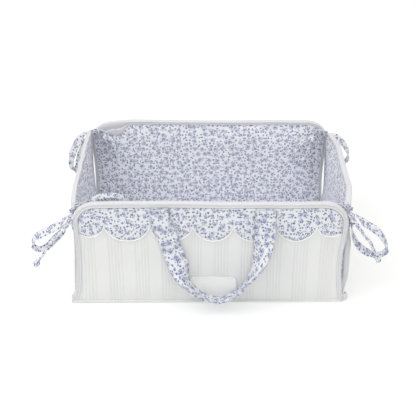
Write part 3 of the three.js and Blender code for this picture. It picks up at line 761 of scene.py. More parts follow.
def tie_end(name, corner, on_side_wall):
    """Sewn-in end of a ribbon, from the wall's edge up to the knot, with a soft bow outwards."""
    out = [2.15, 2.5, 2.9, 2.7] if on_side_wall else [0.8, 1.1, 1.4, 1.2]
    aside = [-3.4, -3.2, -2.4, -1.4] if on_side_wall else [4.9, 4.9, 4.7, 4.5]
    up = [-14, -10.5, -7, -3.4]
    line, along = spline(beside_corner(corner, stack(out, aside, up)), 30)
    across = unit(np.cross(np.cross(along, [0, 1.0, 0]), along))
    gathered_width = 5.5 * MM
    profile = ribbon_profile(gathered_width)
    rings = carried(line, across, np.cross(along, across), *profile.T)
    return loft_piece(name, rings, ring_uv(profile, run_length(line)))


# Base and folds


def base_layer(name, low, high, seed):
    """One layer of the base: a grid with rounded corners between two heights, each with its share of the crown."""
    s = sizes()
    gap, radius, columns = 0.9 * MM, 10 * MM, 120
    half_x, half_y = (plane - s.wadding_half - s.cloth - gap for plane in (SIDE_PLANE, FRONT_PLANE))
    straight = half_y - radius
    ends = straight + radius * np.sin(np.linspace(0, np.pi / 2, 10))
    rows = np.concatenate([-ends[::-1], np.linspace(-straight, straight, 60)[1:-1], ends])[:, None]
    over = np.maximum(np.abs(rows) - straight, 0)
    x = np.linspace(-1, 1, columns) * (half_x - radius + np.sqrt(np.maximum(radius**2 - over**2, 0)))
    y = rows + 0 * x
    # its front edge stands forward with the foot of the front wall
    forward = 3 * MM * ease(-y, 60, 98)
    to_edge = np.minimum(half_x - np.abs(x), half_y - np.abs(y))
    rise = smoothstep(to_edge, 0, s.crown_run)
    broad, small = 0.5 * ripples(x, y, 60, seed=83), 0.2 * ripples(x, y, 24, seed=84)
    wrinkle = MM * ease(to_edge, 1, 14) * (broad + small)
    face, back = (
        stack(x, y - forward, height + crown * rise + wrinkle * settled) for height, crown, settled in (high, low)
    )
    return sheet_piece(name, face, back, stack(x + seed, y))


def corner_bend(name, sign):
    """Binding where it turns from one wall to the next at the base: a bent tab on edge, crumpled and bulging."""
    s = sizes()
    front = sign[1] < 0
    # the ends stop short of the walls' lower edges, which swing past them
    before, beyond = (0.2, 0.42) if front else (0.35, 0.06)
    turn = np.linspace(-before, np.pi / 2 + beyond, 40)
    half_high, half_thick, gap, tight = 4, 1.5, 0.4 * MM, 2.9 * MM
    a = np.linspace(0, 2 * np.pi, 30, endpoint=False)
    profile = stack(np.sign(np.cos(a)) * np.abs(np.cos(a)) ** 0.6 * half_high, np.sin(a) * half_thick) * MM
    u, v = profile.T
    middle = (np.sin(2 * np.clip(turn, 0, np.pi / 2))[:, None] + 0.35) / 1.35
    bulge = middle * (2.2 if sign[0] < 0 else 1.6) * MM
    seed = 61 + sign[0] * 3 + sign[1]
    gather = 0.3 * MM * ripples(turn[:, None] * 5 * MM, u, 4.5, seed) * middle**0.5 * (v > 0)
    radius = tight + bulge + v * (1 + 0.25 * middle) + gather
    up = s.floor_gap + 4.1 * MM + u * (1 + 0.06 * middle)
    shift = -1.2 * MM if sign == (-1, -1) else 0.0
    forward = -2.4 * MM if front else 0.9 * MM
    x = sign[0] * (s.front_half + gap + radius * np.sin(turn)[:, None]) + shift
    y = sign[1] * (s.side_half + gap + radius * np.cos(turn)[:, None]) + forward
    return loft_piece(name, stack(x, y, np.maximum(up, s.floor_gap)), ring_uv(profile, turn * 5 * MM))


def fold_strip(wall, name, route, thickness, columns):
    """Strip of cloth along a wall's fold: a profile of [height, out] carried along the wall, with its ends inside."""
    line, along = spline(np.array(route) * MM, 40)
    normal = stack(-along[:, 1], along[:, 0]) * thickness / 2
    inset = 1.2 * MM
    x = np.linspace(inset - wall.half, wall.half - inset, columns)
    sides = []
    for edge in (line + normal, line - normal):
        grid_x, height = np.meshgrid(x, edge[:, 0])
        sides.append(wall.place(grid_x, height, edge[:, 1:] + 0 * grid_x))
    return sheet_piece(name, *sides, stack(*np.meshgrid(x, run_length(line))))


# Materials

TO_MILLIMETRES = (1000, 1000, 1000)
WHITE = (1, 1, 1, 1)
FULL_TURN, HALF_TURN, EIGHTH_TURN = 6.283, 3.1416, 0.785


class Nodes:
    """Fills one node tree, linking sockets and setting values by name."""

    def __init__(self, tree):
        tree.nodes.clear()
        self.tree = tree

    def add(self, kind, inputs=None, **settings):
        node = self.tree.nodes.new(f"ShaderNode{kind}")
        for name, value in settings.items():
            setattr(node, name, value)
        for key, value in (inputs or {}).items():
            if isinstance(value, bpy.types.NodeSocket):
                self.tree.links.new(value, node.inputs[key])
            else:
                node.inputs[key].default_value = value
        return node

    def math(self, operation, *values, clamp=False):
        return self.add("Math", dict(enumerate(values)), operation=operation, use_clamp=clamp).outputs[0]

    def times(self, *values):
        return reduce(lambda a, b: self.math("MULTIPLY", a, b), values)

    def most(self, *values):
        return reduce(lambda a, b: self.math("MAXIMUM", a, b), values)

    def minus(self, a, b):
        return self.math("SUBTRACT", a, b)

    def line(self, value, slope, offset):
        """Slope times the value, plus an offset, either of which may vary."""
        return self.math("MULTIPLY_ADD", value, slope, offset)

    def wave(self, value):
        """Sine of the value, brought from 0 to 1."""
        return self.line(self.math("SINE", value), 0.5, 0.5)

    def apart(self, a, b):
        """Distance between two numbers."""
        return self.math("ABSOLUTE", self.minus(a, b))

    def ramp(self, value, low, high):
        """0 to 1, smoothly, as the value goes from low to high."""
        limits = {"Value": value, "From Min": low, "From Max": high}
        return self.add("MapRange", limits, interpolation_type="SMOOTHSTEP").outputs["Result"]

    def vector(self, operation, *values):
        return self.add("VectorMath", dict(enumerate(values)), operation=operation).outputs[0]

    def length(self, value):
        return self.add("VectorMath", {0: value}, operation="LENGTH").outputs["Value"]

    def turned(self, value, angle):
        return self.add("VectorRotate", {"Vector": value, "Angle": angle}, rotation_type="Z_AXIS").outputs[0]

    def xy(self, value):
        return self.add("SeparateXYZ", {0: value}).outputs[:2]

    def noise(self, place, scale, detail, distortion=0.0, dimensions="3D"):
        """Noise texture: (value, colour)."""
        inputs = {"Vector": place, "Scale": scale, "Detail": detail, "Distortion": distortion}
        return self.add("TexNoise", inputs, noise_dimensions=dimensions).outputs

    def mix(self, factor, a, b):
        return self.add("Mix", {0: factor, 6: a, 7: b}, data_type="RGBA").outputs[2]

    def group(self, name, **inputs):
        return self.add("Group", inputs, node_tree=bpy.data.node_groups[name]).outputs

    def seen(self):
        """1 where the camera looks, straight on or by way of a mirror or glass."""
        path = self.add("LightPath").outputs
        return self.most(path["Is Camera Ray"], path["Is Glossy Ray"], path["Is Transmission Ray"])


def node_group(name, inputs, outputs):
    """Shader node group with named sockets: (Nodes, its inputs, a function that links an output)."""
    tree = bpy.data.node_groups.new(name, "ShaderNodeTree")
    for label, kind, default in inputs:
        socket = tree.interface.new_socket(label, in_out="INPUT", socket_type=f"NodeSocket{kind}")
        if default is not None:
            socket.default_value = default
    for label in outputs:
        tree.interface.new_socket(label, in_out="OUTPUT", socket_type="NodeSocketFloat")
    n = Nodes(tree)
    entry, leave = tree.nodes.new("NodeGroupInput"), tree.nodes.new("NodeGroupOutput")
    return n, entry.outputs, lambda label, value: tree.links.new(value, leave.inputs[label])


def motif(n, place, cell, shift, keep):
    """One scatter of motifs: (offset from its centre, turned at random; three random numbers; whether it is kept)."""
    moved = n.vector("ADD", n.vector("DIVIDE", place, (cell, cell, cell)), (shift, shift * 0.7, 0))
    scatter = n.add("TexVoronoi", {"Vector": moved, "Scale": 1.0, "Randomness": 0.78}, voronoi_dimensions="2D").outputs
    off = n.vector("MULTIPLY", n.vector("SUBTRACT", moved, scatter["Position"]), (cell, cell, 0))
    chance = n.add("SeparateColor", {"Color": scatter["Color"]}).outputs
    return n.turned(off, n.times(chance[0], FULL_TURN)), chance, n.math("LESS_THAN", chance[2], keep)


def bloom(n, off, centre, size, petals):
    """Round-petalled flower: 1 inside, 0 outside, with its pale eye left out."""
    off = n.vector("SUBTRACT", off, (*centre, 0))
    x, y = n.xy(off)
    reach = n.length(off)
    lobes = n.math("COSINE", n.times(n.math("ARCTAN2", y, x), petals))
    outline = n.times(size, n.line(lobes, 0.17, 0.83))
    return n.times(n.ramp(n.minus(outline, reach), -0.15, 0.2), n.ramp(reach, 0.3, 0.7))


def leaf(n, off, centre, long, wide):
    """Oval leaf: 1 inside, 0 outside."""
    shape = n.vector("DIVIDE", n.vector("SUBTRACT", off, (*centre, 0)), (long, wide, 1))
    return n.ramp(n.length(shape), 1.1, 0.85)


def build_print_group():
    """Ditsy print: a round-petalled flower with a smaller one and leaves beside it, buds and slim leaves scattered
    between them, and a pale shadow of the sprigs on the ground."""
    n, entry, leave = node_group("Sprig Print", [("Vector", "Vector", None)], ("Ink", "Tone", "Halo"))
    bleed = n.vector("SUBTRACT", n.noise(entry["Vector"], scale=0.55, detail=2.0, dimensions="2D")[1], (0.5, 0.5, 0.5))
    bent = n.vector("ADD", entry["Vector"], n.vector("MULTIPLY", bleed, (1.1, 1.1, 0)))
    off, chance, kept = motif(n, bent, cell=9.4, shift=3.1, keep=0.97)
    sprig = (
        bloom(n, off, (-1.0, 0.2), size=n.line(chance[1], 0.5, 1.7), petals=5),
        bloom(n, off, (2.1, 0.9), size=1.25, petals=4),
        leaf(n, off, (0.8, -2.1), long=1.3, wide=0.6),
        leaf(n, off, (0.4, 2.6), long=1.0, wide=0.5),
    )
    flowers = n.times(n.most(*sprig), kept)
    reach = n.length(off)
    clear = n.minus(1.0, n.times(n.ramp(reach, 4.2, 3.4), kept))
    bud_off, bud_chance, bud_kept = motif(n, bent, cell=4.2, shift=7.7, keep=0.92)
    oval = n.length(n.vector("MULTIPLY", bud_off, (0.74, 1.1, 1)))
    buds = n.ramp(n.math("DIVIDE", oval, n.line(bud_chance[1], 0.45, 0.76)), 1.15, 0.8)
    buds = n.times(buds, bud_kept, clear)
    slim_off, _, slim_kept = motif(n, bent, cell=6.0, shift=12.4, keep=0.46)
    slim = n.times(leaf(n, slim_off, (0, 0), long=1.9, wide=0.5), slim_kept, clear)
    tone = n.math("ADD", n.times(chance[1], flowers), n.times(bud_chance[0], buds), clamp=True)
    leave("Ink", n.most(flowers, buds, n.times(slim, 0.8)))
    leave("Tone", n.most(tone, n.times(slim, n.minus(1.0, flowers))))
    leave("Halo", n.times(n.ramp(reach, 5.2, 1.8), kept))


def build_weave_group():
    """Plain weave: threads over and under one another, a little uneven, as a height and a shade."""
    inputs = [("Vector", "Vector", None), ("Thread", "Float", 0.45)]
    n, entry, leave = node_group("Plain Weave", inputs, ("Height", "Shade"))
    turn = n.math("DIVIDE", HALF_TURN, entry["Thread"])
    warp, weft = (n.math("SINE", n.times(way, turn)) for way in n.xy(entry["Vector"]))
    woven = n.line(n.times(warp, weft), 0.5, 0.5)
    slub = n.noise(n.vector("MULTIPLY", entry["Vector"], (0.5, 2.6, 1)), scale=1.0, detail=3.0)[0]
    leave("Height", n.line(slub, 0.5, n.times(woven, 0.5)))
    leave("Shade", n.line(slub, 0.6, n.times(woven, 0.4)))


def build_stitch_group():
    """Row of machine stitches: rounded dashes along a line, and the pressed dent round them."""
    inputs = [("Across", "Float", 0.0), ("Along", "Float", 0.0), ("Pitch", "Float", 2.4)]
    n, entry, leave = node_group("Stitch Row", inputs, ("Thread", "Dent"))
    wide = n.math("ABSOLUTE", entry["Across"])
    share = n.math("PINGPONG", n.math("DIVIDE", entry["Along"], entry["Pitch"]), 0.5)
    leave("Thread", n.times(n.ramp(share, 0.06, 0.16), n.ramp(wide, 0.34, 0.2)))
    leave("Dent", n.ramp(wide, 1.3, 0.1))


def build_wear_group():
    """Soft unevenness of washed cotton: broad and small patches, around a half."""
    n, entry, leave = node_group("Washed Cotton", [("Vector", "Vector", None)], ("Patches",))
    broad = n.noise(entry["Vector"], scale=22.0, detail=3.0)[0]
    small = n.noise(entry["Vector"], scale=140.0, detail=4.0)[0]
    leave("Patches", n.line(broad, 0.6, n.times(small, 0.4)))


def dimmed(rgb, share=1.0):
    return (*[c * share for c in rgb], 1.0)


class Cloth(Nodes):
    """Material of one cloth: its Principled shader, its UV in millimetres and the soft patches of its colour."""

    def __init__(self, name, roughness, sheen):
        self.material = bpy.data.materials.new(name)
        self.material.use_nodes = True
        super().__init__(self.material.node_tree)
        self.shader = self.add(
            "BsdfPrincipled",
            {"Roughness": roughness, "Sheen Weight": sheen, "Sheen Roughness": 0.5, "Specular IOR Level": 0.25},
        )
        self.add("OutputMaterial", {0: self.shader.outputs[0]})
        self.mm = self.vector("MULTIPLY", self.add("UVMap", uv_map="cloth").outputs[0], TO_MILLIMETRES)
        self.patches = self.group("Washed Cotton", Vector=self.add("TexCoord").outputs["Object"])[0]

    def shade(self, factor, rgb, first, second):
        """Two shades of a colour, mixed."""
        return self.mix(factor, dimmed(rgb, first), dimmed(rgb, second))

    def finish(self, base, height, distance):
        """Sets the colour and the relief, whose height is in millimetres."""
        bump = self.add("Bump", {"Strength": 0.6, "Distance": distance * MM, "Height": height})
        self.tree.links.new(base, self.shader.inputs["Base Color"])
        self.tree.links.new(bump.outputs[0], self.shader.inputs["Normal"])
        return self.material


def striped_cotton(name):
    """White cotton with groups of five raised cords and a fine rib between them, with painted shade on the cords' sides
    and a painted highlight on their tops.
    """
    rgb = colours().cloth
    n = Cloth(name, roughness=0.9, sheen=0.15)
    x, _ = n.xy(n.mm)
    # half the distance between two groups of cords, and half that between two cords
    half_period, half_pitch, start = 14.6, 1.75, 400.0
    group = n.math("PINGPONG", n.math("ADD", x, start), half_period)
    inside = n.ramp(group, 8.2, 7.9)
    cord = n.math("FLOORED_MODULO", n.math("ADD", group, half_pitch), 2 * half_pitch)
    cord = n.apart(cord, half_pitch)
    raised = n.times(n.ramp(cord, 0.42, 0.1), inside)
    # the sides of the cords, where shade is painted
    side = n.times(n.ramp(cord, 0.3, 0.5), n.ramp(cord, 0.8, 0.55), inside)
    fine = n.wave(n.times(x, FULL_TURN))
    weave = n.group("Plain Weave", Vector=n.mm, Thread=0.5)
    base = n.shade(n.line(n.patches, 0.25, n.times(fine, 0.06)), rgb, 1.0, 0.93)
    # painted shade on the sides of the cords, then a painted highlight on their tops
    base = n.mix(n.times(side, 0.75), base, dimmed(rgb, 0.84))
    base = n.mix(n.times(raised, 0.5), base, dimmed(rgb, 1.04))
    height = n.math("ADD", raised, n.line(fine, 0.12, n.times(weave["Height"], 0.25)))
    return n.finish(base, height, 0.45)


def printed_cotton(name, ground, ink_share, halo, hems=None):
    """Printed cotton: the sprig print over a pale woven ground, and on straps the stitched hems."""
    c = colours()
    n = Cloth(name, roughness=0.88, sheen=0.15)
    printed = n.group("Sprig Print", Vector=n.mm)
    weave = n.group("Plain Weave", Vector=n.mm, Thread=0.38)
    under = n.shade(n.times(n.patches, 0.5), getattr(c, ground), 1.0, 0.92)
    under = n.mix(n.times(printed["Halo"], halo), under, dimmed(c.motif_light))
    ink = n.mix(printed["Tone"], dimmed(c.motif), dimmed(c.motif_light))
    faded = n.line(weave["Shade"], -0.25, 1.05)
    base = n.mix(n.math("MULTIPLY", n.times(printed["Ink"], ink_share), faded, clamp=True), under, ink)
    height = n.times(weave["Height"], 0.6)
    if hems:
        period, hem = hems
        x, y = n.xy(n.mm)
        folded = n.math("PINGPONG", x, period)
        across = n.math("MINIMUM", n.apart(folded, hem), n.apart(folded, period - hem))
        row = n.group("Stitch Row", Across=across, Along=y, Pitch=2.6)
        base = n.mix(n.times(row["Thread"], 0.85), base, dimmed(c.ground))
        height = n.math("ADD", height, n.minus(n.times(row["Thread"], 1.2), row["Dent"]))
    return n.finish(base, height, 0.25)


def bias_binding(name):
    """Pale binding: fine weave on the bias, tight gathers across it and a stitch row in the groove of each face, with
    painted shade in the dent round each row.
    """
    rgb = colours().binding
    n = Cloth(name, roughness=0.85, sheen=0.2)
    x, y = n.xy(n.mm)
    weave = n.group("Plain Weave", Vector=n.turned(n.mm, EIGHTH_TURN), Thread=0.4)
    gathers = n.noise(n.vector("MULTIPLY", n.mm, (0.12, 0.9, 1)), scale=0.5, detail=2.0)[0]
    outer_groove, inner_groove = 4.1, 15.9
    across = n.math("MINIMUM", n.apart(x, outer_groove), n.apart(x, inner_groove))
    row = n.group("Stitch Row", Across=across, Along=y, Pitch=2.4)
    base = n.shade(n.line(n.patches, 0.4, n.times(gathers, 0.4)), rgb, 1.03, 0.93)
    # painted shade in the groove round each stitch row
    base = n.mix(n.times(row["Dent"], 0.25), base, dimmed(rgb, 0.8))
    base = n.mix(n.times(row["Thread"], 0.8), base, dimmed(colours().edging))
    relief = n.line(weave["Height"], 0.35, n.times(gathers, 1.4))
    return n.finish(base, n.math("ADD", relief, n.times(row["Thread"], 0.7)), 0.3)


def rolled_edging(name):
    """White rolled edging: slanting turns of thread over a cord."""
    n = Cloth(name, roughness=0.8, sheen=0.2)
    x, y = n.xy(n.mm)
    turns = n.wave(n.line(x, 1.1, n.times(y, 6.3)))
    base = n.shade(n.line(n.patches, 0.3, n.times(turns, 0.3)), colours().edging, 1.0, 0.92)
    return n.finish(base, turns, 0.15)


def patch_tape(name):
    """Bare cream tape: a close cross rib, stitches round its edge and painted shade along its rim."""
    rgb = colours().patch
    n = Cloth(name, roughness=0.75, sheen=0.25)
    x, y = n.xy(n.mm)
    rib = n.wave(n.times(y, 7.5))
    row_x, row_y = PATCH_HALF[0] - 1.5, PATCH_HALF[1] - 1.4
    from_x = n.minus(row_x, n.apart(x, PATCH_MIDDLE[0]))
    from_y = n.minus(row_y, n.apart(y, PATCH_MIDDLE[1]))
    level = n.group("Stitch Row", Across=from_y, Along=x, Pitch=2.2)["Thread"]
    upright = n.group("Stitch Row", Across=from_x, Along=y, Pitch=2.2)["Thread"]
    thread = n.most(n.times(level, n.ramp(from_x, -0.2, 0.1)), n.times(upright, n.ramp(from_y, -0.2, 0.1)))
    # painted shade along the rim of the tape, just outside its stitches
    painted_rim_shade = n.ramp(n.math("MINIMUM", from_x, from_y), -1.0, -1.35)
    base = n.shade(n.line(n.patches, 0.4, n.times(rib, 0.15)), rgb, 1.02, 0.93)
    base = n.mix(n.times(painted_rim_shade, 0.7), base, dimmed(rgb, 0.72))
    base = n.mix(n.times(thread, 0.7), base, dimmed(colours().edging))
    return n.finish(base, n.line(thread, 0.8, n.times(rib, 0.4)), 0.2)


def wadding_fibre(name):
    """Fibre filling: tangled streaks over soft lumps."""
    n = Cloth(name, roughness=1.0, sheen=0.4)
    streaks = n.noise(n.vector("MULTIPLY", n.mm, (0.4, 2.4, 1)), scale=1.0, detail=6.0, distortion=1.5)[0]
    base = n.shade(n.line(n.patches, 0.4, n.times(streaks, 0.4)), colours().wadding, 1.0, 0.88)
    return n.finish(base, streaks, 0.5)


def studio_floor(name):
    """Plain pale floor with a faint grain, a little brighter to the eye than the light that it throws back."""
    rgb = colours().floor
    material = bpy.data.materials.new(name)
    material.use_nodes = True
    n = Nodes(material.node_tree)
    grain = n.noise(n.add("TexCoord").outputs["Object"], scale=3.0, detail=2.0)[0]
    seen = n.seen()
    base = n.mix(seen, n.mix(grain, dimmed(rgb), dimmed(rgb, 0.99)), dimmed(rgb, 0.58))
    surface = {
        "Base Color": base, "Roughness": 0.9, "Specular IOR Level": 0.1, "Emission Color": WHITE,
        "Emission Strength": n.times(seen, 0.48),
    }
    n.add("OutputMaterial", {0: n.add("BsdfPrincipled", surface).outputs[0]})
    return material


# Each material's maker, what it is given besides the name, and its slot in the record. Printed cotton is given its
# ground, the shares of the ink and of its halo, and for a strap the width from edge to edge and the hem in millimetres.
MATERIALS = {
    "white_striped_cotton": (striped_cotton, (), "white_cloth"),
    "printed_cotton": (printed_cotton, ("ground", 1.0, 0.05), "floral_cotton"),
    # the strap's halo is stronger than the band's, which darkens its print partly as painted shade on the strap
    "printed_strap": (printed_cotton, ("ground", 1.0, 0.3, (23.2, 2.7)), "floral_cotton"),
    "printed_lining": (printed_cotton, ("lining", 0.9, 0.1), "floral_lining"),
    "pale_bias_binding": (bias_binding, (), "pale_binding"),
    "white_rolled_edging": (rolled_edging, (), "white_edging"),
    "bare_patch_tape": (patch_tape, (), "patch_tape"),
    "wadding_fibre": (wadding_fibre, (), "wadding"),
    "studio_floor": (studio_floor, (), None),
}


def dress(piece, material, body=None, node=None):
    """Gives a piece its material and its body, and hides the CAD part that it stands for."""
    make, values, slot = MATERIALS[material]
    piece.data.materials.clear()
    piece.data.materials.append(bpy.data.materials.get(material) or make(material, *values))
    if node:
        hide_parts(node)
    if body:
        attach(piece, body)
    return piece


# Operators


class BasketOperator:
    bl_options = {"REGISTER", "UNDO"}


class BASKET_OT_groups(BasketOperator, bpy.types.Operator):
    """Build the node groups that the basket's materials share"""

    bl_idname = "basket.groups"
    bl_label = "Node Groups"

    def execute(self, context):
        for build in (build_print_group, build_weave_group, build_stitch_group, build_wear_group):
            build()
        return {"FINISHED"}


class BASKET_OT_stage(BasketOperator, bpy.types.Operator):
    """Build the floor, the lamps, the pale world and the camera"""

    bl_idname = "basket.stage"
    bl_label = "Stage"

    def execute(self, context):
        scene = context.scene
        floor_half = 6.0
        corners = np.array([[-1, -1, 0], [1, -1, 0], [1, 1, 0], [-1, 1, 0]]) * floor_half
        uv = np.array([[[0, 0], [1, 0], [1, 1], [0, 1]]], float)
        floor = dress(mesh_object("floor", corners, np.array([[0, 1, 2, 3]]), uv), "studio_floor")
        world = scene.world = bpy.data.worlds.new("pale_studio")
        world.use_nodes = True
        n = Nodes(world.node_tree)
        sky = n.add("Background", {"Color": WHITE, "Strength": n.line(n.seen(), 0.44, 0.56)})
        n.add("OutputWorld", {0: sky.outputs[0]})
        lit_place, seen_place = Vector((0, 0, 0.05)), Vector((-0.0021, 0, 0.0601))
        # place and width in metres, and power in watts
        for name, place, size, power in (
            ("key_lamp", (-1.7, -0.7, 2.3), 1.4, 18.0),
            ("top_lamp", (0.0, -0.45, 2.2), 2.6, 27.0),
            ("fill_lamp", (0.3, -2.2, 1.1), 1.8, 12.0),
            ("back_lamp", (-0.4, 2.2, 1.0), 1.8, 6.0),
        ):
            light = bpy.data.lights.new(name, "AREA")
            light.size, light.energy = size, power
            lamp = bpy.data.objects.new(name, light)
            lamp.location = place
            lamp.rotation_euler = (lit_place - lamp.location).to_track_quat("-Z", "Y").to_euler()
            scene.collection.objects.link(lamp)
        rise, turn, distance = np.radians(31.83), np.radians(-0.445), 1.083
        forward = Vector((-np.sin(turn) * np.cos(rise), np.cos(turn) * np.cos(rise), -np.sin(rise)))
        data = bpy.data.cameras.new("camera")
        focal_pixels, image_pixels = 900, 416
        data.sensor_width = 36.0
        data.lens = focal_pixels / image_pixels * data.sensor_width
        camera = scene.camera = bpy.data.objects.new("camera", data)
        camera.location = seen_place - forward * distance
        camera.rotation_euler = forward.to_track_quat("-Z", "Y").to_euler()
        scene.collection.objects.link(camera)
        scene.view_settings.view_transform = "Standard"
        return {"FINISHED"}


class BASKET_OT_ties(BasketOperator, bpy.types.Operator):
    """Build the four bows: knots, sewn-in ends, loops and tails"""

    bl_idname = "basket.ties"
    bl_label = "Ribbon Ties"

    def execute(self, context):
        for seed, (corner, bow) in enumerate(BOWS.items()):
            sign = bow["sign"]
            long_wall = "front_wall" if sign[1] < 0 else "back_wall"
            side_wall = "left_wall" if sign[0] < 0 else "right_wall"
            ball = dress(knot(f"bow_knot_{corner}", corner), "printed_cotton", long_wall, f"knot_{corner}")
            for kind, on_side, body in (("long", False, long_wall), ("short", True, side_wall)):
                end = tie_end(f"tie_end_{kind}_{corner}", corner, on_side)
                dress(end, "printed_cotton", body, f"ribbon_root_{kind}_{corner}")
            flat = (-0.9, 0.3, 0.3) if corner == "back_left" else TILTED
            # route, where the width points at first and then, where it turns, looped or not, and the free part's width
            strands = {
                "outer_loop": (bow["outer_loop"], (0, 1, 0), flat, 0.02, 0.12, True, 1.25),
                "outer_tail": (bow["outer_tail"], (sign[0], 0, 0), (0.5 * sign[0], 0.8, 0), 0.05, 0.3, False, 0.66),
                "inner_loop": (bow["inner_loop"], (0, 0, 1), TILTED, 0.08, 0.22, True, 0.8),
                "inner_tail": (INNER_TAIL, (0, 0, 1), (0, -sign[1], 0), 0.1, 0.5, False, 1),
            }
            for number, (kind, (route, first, then, start, end, looped, share)) in enumerate(strands.items()):
                piece, line, size = ribbon(
                    f"bow_{kind}_{corner}", beside_corner(corner, route), first, then, start, end, looped,
                    200 + 10 * seed + number, share, knotted=kind == "outer_tail",
                )
                dress(piece, "printed_cotton", long_wall, f"{kind}_{corner}")
                tuple(line[0])
                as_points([tuple(p) for p in line[::4]] + [tuple(line[-1])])
        return {"FINISHED"}


class BASKET_OT_walls(BasketOperator, bpy.types.Operator):
    """Build the outer cloth, wadding and printed lining of the four walls"""

    bl_idname = "basket.walls"
    bl_label = "Padded Walls"

    def execute(self, context):
        s = sizes()
        # rows up to the round corners and beside them
        coarse, fine = (24, 8), (54, 16)
        for wall in walls():
            columns = 150 if wall.long else 104
            padding = wall_padding(wall, f"{wall.name}_padding", s.wadding_half, columns // 2, coarse)
            dress(padding, "wadding_fibre", wall.body, f"{wall.body}_wadding")
            for kind, side, material in (("outer", 1, "white_striped_cotton"), ("lining", -1, "printed_lining")):
                near = s.wadding_half + LAYER_GAP
                cloth = wall_layer(wall, f"{wall.name}_{kind}_cloth", near, wall.cloth_face, side, columns, fine)
                dress(cloth, material, wall.body, f"{wall.body}_{kind}")
        return {"FINISHED"}


class BASKET_OT_bindings(BasketOperator, bpy.types.Operator):
    """Build the stitched binding of each wall and its short bends at the corners of the base"""

    bl_idname = "basket.bindings"
    bl_label = "Bindings"

    def execute(self, context):
        for wall in walls():
            edge = wall_binding(wall, f"{wall.name}_bound_edge")
            dress(edge, "pale_bias_binding", wall.body, f"{wall.body}_binding")
        for corner, bow in BOWS.items():
            bend = corner_bend(f"bound_bend_{corner}", bow["sign"])
            dress(bend, "pale_bias_binding", "base", f"corner_binding_{corner}")
        return {"FINISHED"}


class BASKET_OT_scallops(BasketOperator, bpy.types.Operator):
    """Build the scalloped printed bands and their rolled white edging"""

    bl_idname = "basket.scallops"
    bl_label = "Scalloped Bands"

    def execute(self, context):
        for wall in walls(long_only=True):
            name = wall.name
            band = dress(scallop_band(wall, f"{name}_scallops"), "printed_cotton", wall.body, f"{name}_scallop_band")
            edging = scallop_edging(wall, f"{name}_rolled_edging")
            dress(edging, "white_rolled_edging", wall.body, f"{name}_scallop_edging")
        return {"FINISHED"}


class BASKET_OT_straps(BasketOperator, bpy.types.Operator):
    """Build the two hanging strap handles"""

    bl_idname = "basket.straps"
    bl_label = "Strap Handles"

    def execute(self, context):
        for wall in walls(long_only=True):
            body = f"{wall.name}_handle"
            handle = dress(strap(wall, f"{wall.name}_strap"), "printed_strap", None, body)
            start, end = (wall.spot(0, strap_top() - drop * MM, 6 * MM) for drop in (0, 12))
            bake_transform(handle)
            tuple(start)
            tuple(end)
        return {"FINISHED"}


class BASKET_OT_patch(BasketOperator, bpy.types.Operator):
    """Build the bare patch near the foot of the front wall"""

    bl_idname = "basket.patch"
    bl_label = "Bare Patch"

    def execute(self, context):
        piece = dress(patch(Wall("front"), "bare_patch"), "bare_patch_tape", "front_wall", "front_patch")
        return {"FINISHED"}


# A hem's and a gusset's route round the fold as [height, out] in millimetres, thickness, and where their bend lies
FOLDS = {
    "hem": (
        [(0.32, -3.6), (0.32, -1), (0.34, 1.2), (0.7, 2.9), (1.4, 3.5), (2.1, 3.2), (2.6, 2.42)],
        0.5, (-3.6, 2.42), "white_striped_cotton",
    ),
    "gusset": (
        [(7.1, -2.8), (3, -2.8), (1.3, -2.77), (0.95, -2.56), (1.3, -2.35), (3, -2.32), (7.7, -2.32)],
        0.16, (-2.78, -2.34), "printed_lining",
    ),
}
# Each layer of the base: its material, the CAD node's ending, and for its lower and upper side the height and the
# crown in millimetres and the share of the wrinkles
BASE_LAYERS = {
    "underside_cloth": ("white_striped_cotton", "outer", (0, 0, 0), (0.8, 0, 0)),
    "base_padding": ("wadding_fibre", "wadding", (1.0, 0, 0), (6.4, 1.4, 1)),
    "base_lining_cloth": ("printed_lining", "lining", (6.6, 1.4, 1), (7.4, 1.4, 1)),
}


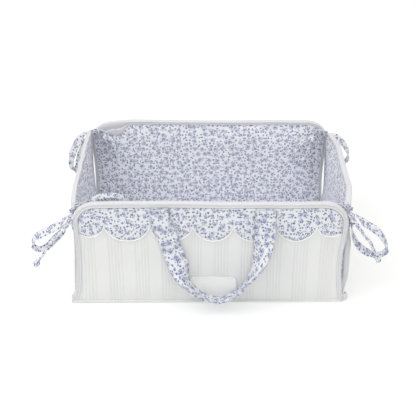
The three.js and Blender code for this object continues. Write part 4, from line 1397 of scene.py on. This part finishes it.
class BASKET_OT_base(BasketOperator, bpy.types.Operator):
    """Build the base and the strips of cloth that bend where the walls fold"""

    bl_idname = "basket.base"
    bl_label = "Base and Folds"

    def execute(self, context):
        for name, (material, node, *sides) in BASE_LAYERS.items():
            metres = [(height * MM, crown * MM, settled) for height, crown, settled in sides]
            piece = dress(base_layer(name, *metres, 0.31), material, "base", f"base_{node}")
        for wall in walls():
            for kind, (route, thickness, bend, material) in FOLDS.items():
                strip = dress(fold_strip(wall, f"{wall.name}_fold_{kind}", route, thickness * MM, 90), material)
                start, end = (wall.spot(0, FLOOR_GAP, out * MM) for out in bend)
                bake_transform(strip)
                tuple(start)
                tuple(end)
        return {"FINISHED"}


class BASKET_PT_panel(bpy.types.Panel):
    """Lists the basket's sizes, colours and makers"""

    bl_idname = "BASKET_PT_panel"
    bl_label = "Organizer Basket"
    bl_space_type = "VIEW_3D"
    bl_region_type = "UI"
    bl_category = "Basket"

    def draw(self, context):
        for group in (context.scene.basket_sizes, context.scene.basket_colours):
            box = self.layout.box()
            for name in group.bl_rna.properties.keys():
                if name not in ("rna_type", "name"):
                    box.prop(group, name)
        for maker in OPERATORS:
            self.layout.operator(maker.bl_idname)


OPERATORS = (
    BASKET_OT_groups, BASKET_OT_stage, BASKET_OT_ties, BASKET_OT_walls, BASKET_OT_bindings, BASKET_OT_scallops,
    BASKET_OT_straps, BASKET_OT_patch, BASKET_OT_base,
)
CLASSES = (BasketSizes, BasketColours, *OPERATORS, BASKET_PT_panel)


def register():
    for cls in CLASSES:
        bpy.utils.register_class(cls)
    bpy.types.Scene.basket_sizes = PointerProperty(type=BasketSizes)
    bpy.types.Scene.basket_colours = PointerProperty(type=BasketColours)


def unregister():
    del bpy.types.Scene.basket_colours, bpy.types.Scene.basket_sizes
    for cls in reversed(CLASSES):
        bpy.utils.unregister_class(cls)


def main():
    register()
    bpy.ops.basket.groups()
    bpy.ops.basket.stage()
    bpy.ops.basket.ties()
    bpy.ops.basket.walls()
    bpy.ops.basket.bindings()
    bpy.ops.basket.scallops()
    bpy.ops.basket.straps()
    bpy.ops.basket.patch()
    bpy.ops.basket.base()


if __name__ == "__main__":
    main()
